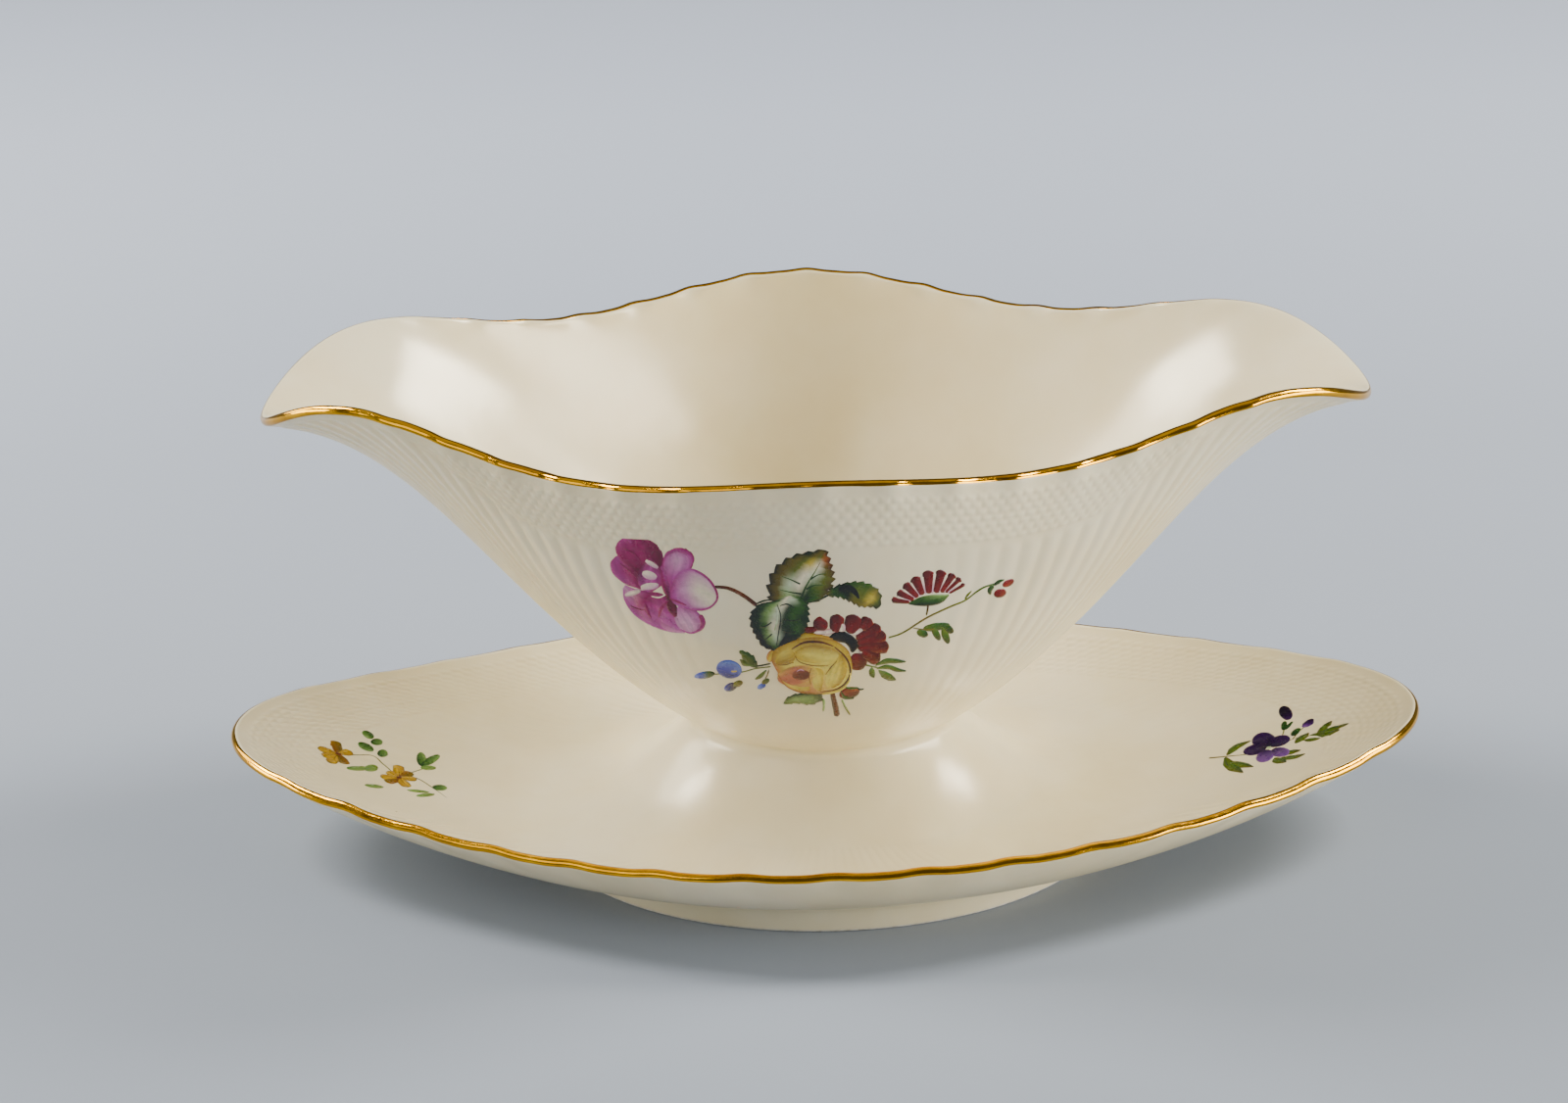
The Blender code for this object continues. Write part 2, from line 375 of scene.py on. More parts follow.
def bowl_relief(face):
    """Height of the moulding over the bowl's outer face: osier under the edge, ribs down to the waist."""
    x = face.points[..., 0]
    side = smooth(16, 46, np.abs(x - FIELD_X))
    lips = smooth(56, 84, np.abs(x[:1] - FIELD_X))
    start, end = BOWL_OSIER["from"], BOWL_OSIER["to"]
    until = end + (start + 1 - end) * lips
    weave = osier(face.along, face.down, face.length, BOWL_OSIER["wide"], BOWL_OSIER["high"])
    weave *= smooth(start, start + 1.2, face.down)
    weave *= 1 - smooth(until - 1, until, face.down)
    rib = ribs(face.along, face.length, BOWL_RIBS["spacing"])
    rib = rib * smooth(until - 0.4, until + 2.0, face.down) * (0.10 + 0.90 * side)
    rib *= 0.30 + 0.70 * smooth(34, 64, face.points[..., 2])
    return BOWL_OSIER["lift"] * weave + BOWL_RIBS["lift"] * rib


def edge_waves(face, spec, calm_ends, depth):
    """Little scallops of an edge. They die out between the two values of |cos a| and down the wall."""
    wave = scallops(face.along, face.length, spec["count"], 0.5)
    wave = wave * (1 - smooth(*calm_ends, np.abs(np.cos(face.angle))))[None, :]
    return wave * np.exp(-((face.down / depth) ** 2))


def waved(face, wave, spec):
    """The face's points, moved out and down by the scallops."""
    wave = wave[..., None]
    return face.points + wave * face.normal * spec["out"] + (wave - 1) * UP * spec["down"]


def wall_thickness(face, full):
    """Thickness of a wall, which grows from that of the lip to full."""
    return (2 * LIP_HALF + (full - 2 * LIP_HALF) * smooth(0, THICKENING, face.down))[..., None]


def mark_relief(obj, relief, start=0):
    """Keeps the moulding's height on the vertices from number start on, where the glaze reads it."""
    heights = np.zeros(len(obj.data.vertices))
    heights[start : start + relief.size] = (relief[::-1] / FULL_RELIEF).ravel()
    point_attribute(obj, "relief", heights)


def floor_rows(angle, inner_shift, rows=14):
    """The bowl's floor from the waist to its middle."""
    edge = oval(angle, *WAIST)
    share = np.linspace(1, 0, rows + 1)[1:-1]
    handle = boat_face(angle, np.full_like(angle, 1e-3)) - edge
    slope = handle[:, 2] / np.linalg.norm(handle[:, :2], axis=1)
    power = np.maximum(1.5, slope * np.linalg.norm(edge[:, :2], axis=1) / BOWL_DROP)
    made = []
    for t in share:
        z = WAIST[2] - BOWL_DROP * (1 - t**power) + inner_shift
        made.append(np.stack([edge[:, 0] * t, edge[:, 1] * t, z], -1))
    return np.stack(made)


def make_bowl():
    """The bowl, its outer face and the rows over its lip that the gold follows."""
    step = 0.36
    band = LIP_HALF + np.arange(int((BOWL_OSIER["to"] + 3) / step)) * step
    face = Face(boat_face, BOAT_EDGE, BOAT_STATIONS, band, 48)
    relief = bowl_relief(face)
    wave = edge_waves(face, BOWL_SCALLOPS, (0.72, 0.9), 5.0)
    moved = waved(face, wave, BOWL_SCALLOPS)
    outer = moved + face.normal * relief[..., None]
    calm = face.points + (moved - face.points) * np.exp(-((face.down / BOWL_CALM) ** 2))[..., None]
    inner = (calm - face.normal * wall_thickness(face, BOAT_WALL))[::2]
    lip = lip_rows(moved, face.normal, LIP_HALF, LIP_ROWS)
    under, floor = floor_rows(face.angle, 0.0), floor_rows(face.angle, BOAT_WALL)
    rings = np.concatenate([under[::-1], outer[::-1], lip, inner, floor])
    bowl = closed_body("porcelain_bowl", rings, capped=True)
    mark_relief(bowl, relief, len(under) * BOAT_STATIONS)
    rim = np.concatenate([outer[:RIM_OUTSIDE][::-1], lip, inner[:RIM_INSIDE]])
    return bowl, face, rim


def stand_relief(face):
    """Height of the moulding over the dish: osier inside the edge, then ribs that fade into the well.

    It also fades out at two places near the ends, where the sprigs are painted.
    """
    x, y = face.points[..., 0], face.points[..., 1]
    weave = osier(face.along, face.down, face.length, DISH_OSIER["wide"], DISH_OSIER["high"])
    start = DISH_OSIER["from"]
    reach = DISH_OSIER["to"] + 6 * np.cos(face.angle)[None, :] ** 4
    weave *= smooth(start, start + 1.2, face.down) * (1 - smooth(reach - 1, reach, face.down))
    rib = ribs(face.along, face.length, DISH_RIBS["spacing"])
    rib = rib * smooth(reach - 0.5, reach + 2, face.down)
    rib *= 1 - smooth(reach + 10, reach + 26, face.down)
    plain = 1 - np.exp(-(((np.abs(x) - 91) / 15) ** 2) - (((y + 12) / 12) ** 2))
    return (DISH_OSIER["lift"] * weave + DISH_RIBS["lift"] * rib) * smooth(0.25, 0.75, plain)


def pooled_glaze(angle, count=14):
    """Rows of the soft fillet of glaze between the pedestal and the bowl, from below upwards."""
    low = pedestal_face(angle, np.full_like(angle, SLEEVE_TOP))
    corner = oval(angle, *WAIST)
    high = boat_face(angle, np.full_like(angle, POOL_TOP))
    rows = []
    for t in np.linspace(0, 1, count + 1)[1:]:
        rows.append(low * (1 - t) ** 2 + corner * 2 * t * (1 - t) + high * t**2)
    return np.stack(rows)


def sleeve_rows(angle):
    """Rows of the pedestal's outer face from the skirt upwards, with the pooled glaze over them."""
    shares = np.linspace(1, SLEEVE_TOP, 30)[1:]
    sleeve = np.stack([pedestal_face(angle, np.full_like(angle, t)) for t in shares])
    return np.concatenate([sleeve, pooled_glaze(angle)])


def upward_normals(points):
    """Normals of a grid, turned so that the first of them points up."""
    normals = grid_normals(points)
    return normals * np.sign(normals[0, 0, 2])


def make_pedestal(upper, dish_normal, sleeve):
    """The hollow pedestal, from its joint with the dish up into the bowl's glaze.

    It draws in the last row of sleeve a little, so that the glaze closes on the bowl.
    """
    normal = grid_normals(np.concatenate([upper, sleeve]))[len(upper) :]
    normal *= np.sign(dish_normal[0, 0, 2]) * np.sign(normal[0, 0, 2])
    sleeve[-1] -= normal[-1] * 0.25
    thin = np.linspace(STAND_WALL, 1.0, len(sleeve))[:, None, None]
    inside = (sleeve - normal * thin)[::-1]
    joint = upper[-1:]
    joint_under = joint - dish_normal[-1:] * STAND_WALL
    rings = np.concatenate([joint, sleeve, inside, joint_under])
    return closed_body("porcelain_pedestal", rings, capped=False)


def make_stand():
    """The dish and the pedestal, which share normals at the skirt so that the glaze runs on over it."""
    step = 0.42
    band = LIP_HALF + np.arange(int(24 / step)) * step
    face = Face(dish_face, STAND_EDGE, STAND_STATIONS, band, 40)
    face.normal *= np.sign(face.normal[0, 0, 2])
    relief = stand_relief(face)
    wave = edge_waves(face, DISH_SCALLOPS, (0.86, 0.97), 6.0)
    moved = waved(face, wave, DISH_SCALLOPS)
    upper = moved + face.normal * relief[..., None]
    under = (moved - face.normal * wall_thickness(face, STAND_WALL))[::2]
    lip = lip_rows(moved, face.normal, LIP_HALF, LIP_ROWS)
    dish = closed_body("porcelain_dish", np.concatenate([upper[::-1], lip, under]), capped=False)
    mark_relief(dish, relief)

    sleeve = sleeve_rows(face.angle)
    pedestal = make_pedestal(upper, face.normal, sleeve)
    normals = upward_normals(np.concatenate([upper, sleeve]))
    share_normals(dish, normals[: len(upper)][::-1])
    share_normals(pedestal, normals[len(upper) - 1 :])
    rim = np.concatenate([upper[:RIM_OUTSIDE][::-1], lip, under[:RIM_INSIDE]])
    return dish, pedestal, face, rim


def share_normals(obj, normals):
    """Gives a body's first rows these normals and leaves the others as they are."""
    found = np.empty(len(obj.data.vertices) * 3, np.float32)
    obj.data.vertices.foreach_get("normal", found)
    found = found.reshape(-1, 3)
    mine = normals.reshape(-1, 3)
    found[: len(mine)] = mine
    obj.data.normals_split_custom_set_from_vertices(found)


def make_foot(dish):
    """Oval foot ring with rounded arrises, whose upper end is let into the dish."""
    tree = BVHTree.FromObject(dish, bpy.context.evaluated_depsgraph_get())
    angle = np.linspace(0, 2 * np.pi, 360, endpoint=False)

    def ring(inset, height):
        return oval(angle, FOOT[0] - inset, FOOT[1] - inset, height)

    def dish_under(inset):
        points = ring(inset, 0.0)
        for point in points:
            hit = tree.ray_cast(Vector((*point[:2] * MM, -0.01)), Vector((0, 0, 1)))[0]
            point[2] = hit.z / MM + 0.25 if hit else 6.0
        return points

    def side_ring(inset, top, share):
        row = ring(inset, 0.0)
        row[:, 2] = top[:, 2] * share
        return row

    flare, arris = 1.6, 0.6
    outer_top, inner_top = dish_under(-flare), dish_under(FOOT[2] + flare)
    rows = [outer_top]
    for share, inset in ((0.82, -0.85), (0.6, -0.55), (0.35, -0.3), (0.15, -0.1)):
        rows.append(side_ring(inset, outer_top, share))
    for turn in np.linspace(0, np.pi / 2, 6):
        rows.append(ring(arris - arris * math.cos(turn), arris - arris * math.sin(turn)))
    for turn in np.linspace(np.pi / 2, 0, 6):
        rows.append(ring(FOOT[2] - arris + arris * math.cos(turn), arris - arris * math.sin(turn)))
    for share, inset in ((0.2, 0.1), (0.5, 0.4), (0.8, 0.8)):
        rows.append(side_ring(FOOT[2] + inset, inner_top, share))
    rows.append(inner_top)
    return closed_body("foot_ring_body", np.stack(rows), capped=False)


# ---------------------------------------------------------------- gold

GILT_LIFT = 0.035
FILM_ROWS = 19
BRUSH_WANDER = 0.12


def unsteady(along, length, seed, waves=24):
    """A smooth wander from about -1 to 1 round an edge, like that of a hand-held brush."""
    rng = np.random.default_rng(seed)
    total = np.zeros_like(along)
    for k in range(1, waves):
        size, shift = rng.normal(), rng.uniform(0, 6.3)
        total += size * np.cos(2 * np.pi * k * 3 * along / length + shift) / k**0.6
    return total / 3.0


def make_gold(name, rim, along, length, outside, inside, seed):
    """A thin film round a lip. It reaches outside and inside beyond the lip's top by these widths."""
    normal = grid_normals(rim)
    normal *= np.sign(np.einsum("ij,ij->", normal[0], rim[0] - rim[-1]))
    steps = np.linalg.norm(np.diff(rim, axis=0), axis=2)
    run = np.concatenate([np.zeros((1, rim.shape[1])), np.cumsum(steps, axis=0)])
    top = run[RIM_OUTSIDE + LIP_ROWS // 2]
    low = top - outside - BRUSH_WANDER * unsteady(along, length, seed)
    high = top + inside + BRUSH_WANDER * unsteady(along, length, seed + 1)
    share = np.linspace(0, 1, FILM_ROWS)[:, None]
    where = low + (high - low) * share
    film = np.empty((FILM_ROWS, rim.shape[1], 3))
    lift = np.empty_like(film)
    for i in range(rim.shape[1]):
        for axis in range(3):
            film[:, i, axis] = np.interp(where[:, i], run[:, i], rim[:, i, axis])
            lift[:, i, axis] = np.interp(where[:, i], run[:, i], normal[:, i, axis])
    height = GILT_LIFT * np.minimum(1, np.minimum(share, 1 - share) * 12)[..., None] - 0.01
    rings = np.concatenate([film + lift * height, (film - lift * 0.08)[::-1]])
    return closed_body(name, rings, capped=False)


# ---------------------------------------------------------------- materials


def new_material(name):
    """A material with its node tree and its Principled BSDF."""
    made = bpy.data.materials.new(name)
    made.use_nodes = True
    tree = made.node_tree
    return made, tree, tree.nodes["Principled BSDF"]


def add_node(tree, kind, **values):
    """A node with its properties and, for names that are sockets, its inputs set."""
    node = tree.nodes.new(kind)
    for name, value in values.items():
        if hasattr(node, name):
            setattr(node, name, value)
        else:
            node.inputs[name.replace("_", " ").title()].default_value = value
    return node


def set_inputs(node, values):
    for name, value in values.items():
        node.inputs[name].default_value = value


def noise(tree, coords, scale, detail=3.0, roughness=0.5):
    node = add_node(tree, "ShaderNodeTexNoise", scale=scale, detail=detail, roughness=roughness)
    tree.links.new(coords, node.inputs["Vector"])
    return node.outputs["Fac"]


def ramp(tree, value, *stops):
    """Colour ramp of (position, colour) stops."""
    node = tree.nodes.new("ShaderNodeValToRGB")
    elements = node.color_ramp.elements
    while len(elements) < len(stops):
        elements.new(0.5)
    for element, (position, colour) in zip(elements, stops):
        element.position = position
        element.color = (*colour, 1.0)
    tree.links.new(value, node.inputs["Fac"])
    return node.outputs["Color"]


def ranged(tree, value, low, high, from_low=0.0, from_high=1.0):
    """Maps a value's range onto another one."""
    node = tree.nodes.new("ShaderNodeMapRange")
    set_inputs(node, {"From Min": from_low, "From Max": from_high, "To Min": low, "To Max": high})
    tree.links.new(value, node.inputs["Value"])
    return node.outputs["Result"]


def blend(tree, share, first, second, mode="MIX"):
    """Mixes two colours, each a socket or a colour, by a share that is a socket or a number."""
    node = tree.nodes.new("ShaderNodeMix")
    node.data_type = "RGBA"
    node.blend_type = mode
    for number, value in ((0, share), (6, first), (7, second)):
        socket = node.inputs[number]
        if isinstance(value, bpy.types.NodeSocket):
            tree.links.new(value, socket)
        elif isinstance(value, tuple):
            socket.default_value = (*value, 1.0)
        else:
            socket.default_value = value
    return node.outputs[2]


def combined(tree, operation, first, second):
    """A math node over two sockets."""
    node = add_node(tree, "ShaderNodeMath", operation=operation)
    tree.links.new(first, node.inputs[0])
    tree.links.new(second, node.inputs[1])
    return node.outputs["Value"]


def object_coords(tree):
    return tree.nodes.new("ShaderNodeTexCoord").outputs["Object"]


def part_of(tree, coords, axis):
    node = tree.nodes.new("ShaderNodeSeparateXYZ")
    tree.links.new(coords, node.inputs["Vector"])
    return node.outputs[axis]


def add_bump(tree, shader, coords, scale, strength, distance):
    """Gives a shader a faint unevenness of the surface."""
    bump = add_node(tree, "ShaderNodeBump", strength=strength, distance=distance)
    tree.links.new(noise(tree, coords, scale, 2.0), bump.inputs["Height"])
    tree.links.new(bump.outputs["Normal"], shader.inputs["Normal"])


CREAM = (0.82, 0.72, 0.465)
CREAM_DEEP = (0.77, 0.66, 0.395)
CREAM_PALE = (0.855, 0.77, 0.54)
IRON = (0.16, 0.10, 0.06)
GRIT_DARK, GRIT_PALE = (0.50, 0.46, 0.38), (0.74, 0.71, 0.63)
GOLD_DEEP, GOLD_MIDDLE, GOLD_BRIGHT = (0.56, 0.255, 0.003), (0.76, 0.375, 0.006), (0.90, 0.48, 0.012)


def iron_specks(tree, coords):
    """A share that is 1 on a few small dots of the glaze."""
    cells = add_node(tree, "ShaderNodeTexVoronoi", scale=160.0)
    tree.links.new(coords, cells.inputs["Vector"])
    dot = ranged(tree, cells.outputs["Distance"], 1.0, 0.0, 0.02, 0.05)
    pick = tree.nodes.new("ShaderNodeSeparateColor")
    tree.links.new(cells.outputs["Color"], pick.inputs["Color"])
    rare = ranged(tree, pick.outputs["Red"], 0.0, 1.0, 0.994, 0.996)
    return combined(tree, "MULTIPLY", dot, rare)


def glaze_material(name, bare_foot=False):
    """Cream glaze: softly mottled, paler on the raised moulding, with a few iron specks.

    bare_foot leaves the tread, which is wiped before firing, gritty and dull.
    """
    made, tree, shader = new_material(name)
    coords = object_coords(tree)
    mottle = noise(tree, coords, 28.0, 4.0, 0.6)
    colour = ramp(tree, mottle, (0.32, CREAM_PALE), (0.52, CREAM), (0.72, CREAM_DEEP))
    relief = add_node(tree, "ShaderNodeAttribute", attribute_name="relief").outputs["Fac"]
    raised = ranged(tree, relief, 0.0, 0.35, 0.1, 0.8)
    colour = blend(tree, raised, colour, CREAM_PALE)
    colour = blend(tree, iron_specks(tree, coords), colour, IRON)
    rough = ranged(tree, noise(tree, coords, 60.0, 3.0), 0.18, 0.26, 0.3, 0.7)
    if bare_foot:
        bare = ranged(tree, part_of(tree, coords, "Z"), 1.0, 0.0, 0.0003, 0.0007)
        grit = ramp(tree, noise(tree, coords, 900.0, 4.0), (0.35, GRIT_DARK), (0.6, GRIT_PALE))
        colour = blend(tree, bare, colour, grit)
        rough = combined(tree, "MAXIMUM", rough, ranged(tree, bare, 0.0, 0.7))
    tree.links.new(colour, shader.inputs["Base Color"])
    tree.links.new(rough, shader.inputs["Roughness"])
    set_inputs(
        shader,
        {
            "IOR": 1.5,
            "Specular IOR Level": 0.85,
            "Specular Tint": (1.0, 0.92, 0.76, 1.0),
            "Subsurface Weight": 0.12,
            "Subsurface Radius": (1.0, 0.8, 0.5),
            "Subsurface Scale": 0.0025,
        },
    )
    add_bump(tree, shader, coords, 170.0, 0.12, 0.0004)
    return made


def gold_material():
    """Fired gold: warm, brushed on by hand and a little worn."""
    made, tree, shader = new_material("fired gold")
    coords = object_coords(tree)
    tone = noise(tree, coords, 140.0, 4.0, 0.6)
    colour = ramp(tree, tone, (0.3, GOLD_DEEP), (0.55, GOLD_MIDDLE), (0.75, GOLD_BRIGHT))
    tree.links.new(colour, shader.inputs["Base Color"])
    rough = ranged(tree, noise(tree, coords, 420.0, 3.0), 0.10, 0.19, 0.3, 0.7)
    tree.links.new(rough, shader.inputs["Roughness"])
    shader.inputs["Metallic"].default_value = 1.0
    add_bump(tree, shader, coords, 900.0, 0.25, 0.0001)
    return made


# ---------------------------------------------------------------- enamel painting

LAYER = 0.012  # height of one layer of enamel
STROKE_STEP = 0.0006  # each stroke lies this much over the one before, so that no two coincide
FIRST_COAT = 0.02
SUNK_EDGE, SUNK_BACK = 0.01, 0.05  # how deep a stroke's edge and back lie in the glaze
FINE = 0.3  # spacing of the points in a stroke
BRUSH = 0.62  # half-width of a stroke as a share of its nominal width
PAINTER_EYE = (-13.0, -755.9, 360.5)
PAINTER_TILT = 22.0  # degrees that the painter's sheet leans back
SHEET_MIDDLE = (0, -54.0, 58.0)
ABOVE_DISH = 26.5


def ink(red, green, blue):
    """Linear colour of an enamel, from its look on a 0 to 255 scale.

    It is laid on richer than it looks under the glare of the lights.
    """
    colour = np.array([((c / 255 + 0.055) / 1.055) ** 2.4 for c in (red, green, blue)]) ** 1.3
    grey = colour.mean()
    return np.clip(grey + (colour - grey) * 1.25, 0.0005, 1)


PLUM, MAGENTA, MAUVE = ink(112, 6, 66), ink(156, 46, 112), ink(184, 112, 164)
BLUSH, MILK = ink(214, 176, 196), ink(234, 226, 204)
BLACK_GREEN, PINE, LEAF = ink(8, 20, 4), ink(20, 56, 16), ink(66, 104, 34)
MOSS, SAGE, MINT = ink(112, 120, 34), ink(150, 172, 118), ink(206, 214, 190)
OLIVE, STRAW, TAN = ink(120, 108, 30), ink(214, 196, 120), ink(176, 110, 60)
BARK, BROWN = ink(78, 40, 8), ink(122, 74, 10)
GOLDEN, YELLOW, OCHRE = ink(198, 172, 84), ink(226, 212, 140), ink(156, 122, 44)
ROSE, WINE, OXBLOOD, RUST = ink(190, 128, 110), ink(120, 26, 34), ink(92, 6, 4), ink(140, 46, 26)
BLUE, SKY, NAVY = ink(56, 84, 170), ink(136, 152, 200), ink(30, 40, 110)
VIOLET, LILAC, INDIGO = ink(70, 18, 90), ink(140, 108, 164), ink(38, 4, 46)
BLACK = ink(6, 4, 6)


def spline(points, count):
    """Evenly spaced points on a smooth (Catmull-Rom) curve through the given ones."""
    knots = np.array(points, float)
    knots = np.concatenate([[2 * knots[0] - knots[1]], knots, [2 * knots[-1] - knots[-2]]])
    t = np.linspace(0, 1, 12, endpoint=False)[:, None]
    runs = []
    for a, b, c, d in zip(knots, knots[1:], knots[2:], knots[3:]):
        cubic = (3 * b - a - 3 * c + d) * t**3 + (2 * a - 5 * b + 4 * c - d) * t**2
        runs.append(0.5 * (2 * b + (c - a) * t + cubic))
    dense = np.concatenate([*runs, knots[-2:-1]])
    run = np.concatenate([[0], np.cumsum(np.linalg.norm(np.diff(dense, axis=0), axis=1))])
    even = np.linspace(0, run[-1], count)
    return np.stack([np.interp(even, run, dense[:, i]) for i in (0, 1)], -1)


def length_of(points):
    return np.linalg.norm(np.diff(np.array(points, float), axis=0), axis=1).sum()


def wash(*rows, edge=None, rim=0.3, streak=0.12):
    """Colour of a shape by the shares along and across it.

    Each row holds the colours from its left edge to its right, and the rows run from its base to its tip.
    edge is laid on along both sides and the tip, over a share rim of the shape. streak is how strongly brush
    marks show.
    """
    rows = [row if isinstance(row, list) else [row] for row in rows]

    def at(s, t):
        made = []
        for row in rows:
            places = np.linspace(0, 1, len(row))
            made.append(np.stack([np.interp(t, places, [c[i] for c in row]) for i in range(3)], -1))
        place = s * (len(made) - 1)
        out = np.zeros(s.shape + (3,))
        for k, colour in enumerate(made):
            out += colour * np.clip(1 - np.abs(place - k), 0, 1)[..., None]
        if edge is not None:
            side = np.maximum(smooth(1 - rim, 1, np.abs(2 * t - 1)), smooth(1 - rim / 2, 1, s))
            out = out * (1 - side[..., None]) + edge * side[..., None]
        marks = np.sin(t * 23 + 2 * np.sin(s * 5))
        marks = marks + 0.6 * np.sin(t * 51 + s * 3 + 1) + 0.5 * np.sin(t * 9 - s * 7)
        return out * (1 + streak * marks)[..., None]

    return at


class Painting:
    """Enamel strokes laid on a glazed body. Each is a thin closed shell, drawn flat and cast on.

    sight takes flat points in millimetres and returns the starts and the directions of their lines in space.
    """

    def __init__(self, tree, sight):
        self.tree, self.sight = tree, sight
        self.points, self.colours, self.faces, self.count, self.laid = [], [], [], 0, 0

    def cast(self, flat):
        """Where the sight lines of a grid of flat points meet the glaze, and its normals there."""
        rows, columns = flat.shape[:2]
        starts, ways = self.sight(flat.reshape(-1, 2))
        spots = np.empty((rows * columns, 3))
        normals = np.empty_like(spots)
        for i, (start, way) in enumerate(zip(starts, ways)):
            hit, normal = self.tree.ray_cast(Vector(start * MM), Vector(way).normalized())[:2]
            if hit is None:
                raise ValueError(f"a stroke misses the glaze at {flat.reshape(-1, 2)[i]}")
            spots[i] = np.array(hit) / MM
            normals[i] = np.array(normal)
        spots = spots.reshape(rows, columns, 3)
        normals = normals.reshape(rows, columns, 3)
        normals *= np.sign(-np.einsum("ijk,k->ij", normals, np.array(ways[0])))[..., None]
        return spots, normals

    def lay(self, flat, colour, layer):
        """Adds the shell over a grid of flat points, with a colour for each of them."""
        rows, columns = flat.shape[:2]
        spots, normals = self.cast(flat)
        self.laid += 1
        height = np.full((rows, columns, 1), FIRST_COAT + layer * LAYER + self.laid * STROKE_STEP)
        height[[0, -1]] = height[:, [0, -1]] = -SUNK_EDGE
        back = spots - normals * SUNK_BACK
        ring = np.concatenate([spots + normals * height, back[:, ::-1]], axis=1)
        shades = np.concatenate([colour, colour[:, ::-1]], axis=1)
        wide = 2 * columns
        self.points.append(ring.reshape(-1, 3))
        self.colours.append(shades.reshape(-1, 3))
        self.faces.append(grid_faces(rows, wide)[:, ::-1] + self.count)
        caps = np.stack([np.arange(wide)[::-1], np.arange(wide) + (rows - 1) * wide]) + self.count
        self.faces.append(caps[:, ::-1])
        self.count += rows * wide

    def patch(self, left, right, colour, layer=0, teeth=0, bite=0.4):
        """Paints the shape between two edges that run from its base to its tip, with teeth if asked."""
        rows = int(np.clip(max(length_of(left), length_of(right)) / FINE, 6, 70))
        left, right = spline(left, rows), spline(right, rows)
        wide = np.linalg.norm(left - right, axis=1).max()
        columns = int(np.clip(wide / FINE, 5, 46))
        s, t = np.meshgrid(np.linspace(0, 1, rows), np.linspace(0, 1, columns), indexing="ij")
        if teeth:
            across = np.linalg.norm(left - right, axis=1, keepdims=True)
            out = (left - right) / np.maximum(across, 0.3)
            saw = ((s[:, :1] * teeth) % 1) * bite
            left, right = left + out * saw, right - out * saw
        flat = left[:, None] * (1 - t[..., None]) + right[:, None] * t[..., None]
        self.lay(flat, colour(s, t), layer)

    def stroke(self, points, widths, colour, layer=1):
        """Paints a line along a curve. widths are spread evenly along it."""
        rows = int(np.clip(length_of(points) / FINE, 6, 90))
        line = spline(points, rows)
        s = np.linspace(0, 1, rows)
        half = np.interp(s, np.linspace(0, 1, len(widths)), widths) * BRUSH
        room = np.minimum(s, 1 - s) * length_of(points) / np.maximum(0.5 * half, 0.05)
        half *= np.sqrt(np.clip(room, 0.03, 1))
        step = np.gradient(line, axis=0)
        side = np.stack([-step[:, 1], step[:, 0]], -1) / np.linalg.norm(step, axis=1, keepdims=True)
        columns = int(np.clip(max(widths) / FINE, 4, 12))
        t = np.linspace(0, 1, columns)
        flat = line[:, None] + side[:, None] * half[:, None, None] * (1 - 2 * t)[None, :, None]
        s, t = np.meshgrid(s, t, indexing="ij")
        self.lay(flat, colour(s, t), layer)

    def blob(self, centre, size, turn, colour, layer=1):
        """Paints an oval. turn is the angle in degrees of its long way, from its base to its tip."""
        along = np.array([math.cos(math.radians(turn)), math.sin(math.radians(turn))])
        across = np.array([-along[1], along[0]])
        rounds = np.linspace(0, math.pi, 9)
        mid = [np.array(centre) - along * math.cos(a) * size[0] / 2 for a in rounds]
        wide = [max(math.sin(a), 0.03) * size[1] / 2 for a in rounds]
        left = [m + across * w for m, w in zip(mid, wide)]
        right = [m - across * w for m, w in zip(mid, wide)]
        self.patch(left, right, colour, layer)

    def strokes(self, lines, widths, colour, layer):
        for points in lines:
            self.stroke(points, widths, colour, layer)

    def blobs(self, ovals, colour, layer):
        for centre, size, turn in ovals:
            self.blob(centre, size, turn, colour, layer)

    def finish(self, name):
        """Makes one object of all the strokes since the last call."""
        points = np.concatenate(self.points)
        obj = mesh_object(name, points, self.faces)
        shades = np.clip(np.concatenate(self.colours), 0, 1)
        opaque = np.concatenate([shades, np.ones((len(shades), 1))], 1)
        made = obj.data.color_attributes.new("enamel", "FLOAT_COLOR", "POINT")
        made.data.foreach_set("color", opaque.astype(np.float32).ravel())
        self.points, self.colours, self.faces, self.count = [], [], [], 0
        return obj


def sight_from(eye, middle, turned):
    """Sight lines from a painter's eye through an upright sheet at middle. turned swaps them to the back."""
    tilt = math.radians(PAINTER_TILT)
    right = np.array([1.0, 0, 0])
    up = np.array([0, math.sin(tilt), math.cos(tilt)])
    flip = np.array([-1.0, -1, 1]) if turned else np.ones(3)

    def sight(flat):
        ways = middle + flat[:, :1] * right + flat[:, 1:] * up - eye
        return np.broadcast_to(eye * flip, ways.shape), ways * flip

    return sight


def sight_down(flat):
    """Sight lines straight down onto the dish."""
    starts = np.concatenate([flat, np.full((len(flat), 1), ABOVE_DISH)], axis=1)
    return starts, np.broadcast_to(np.array([0, 0, -1.0]), starts.shape)


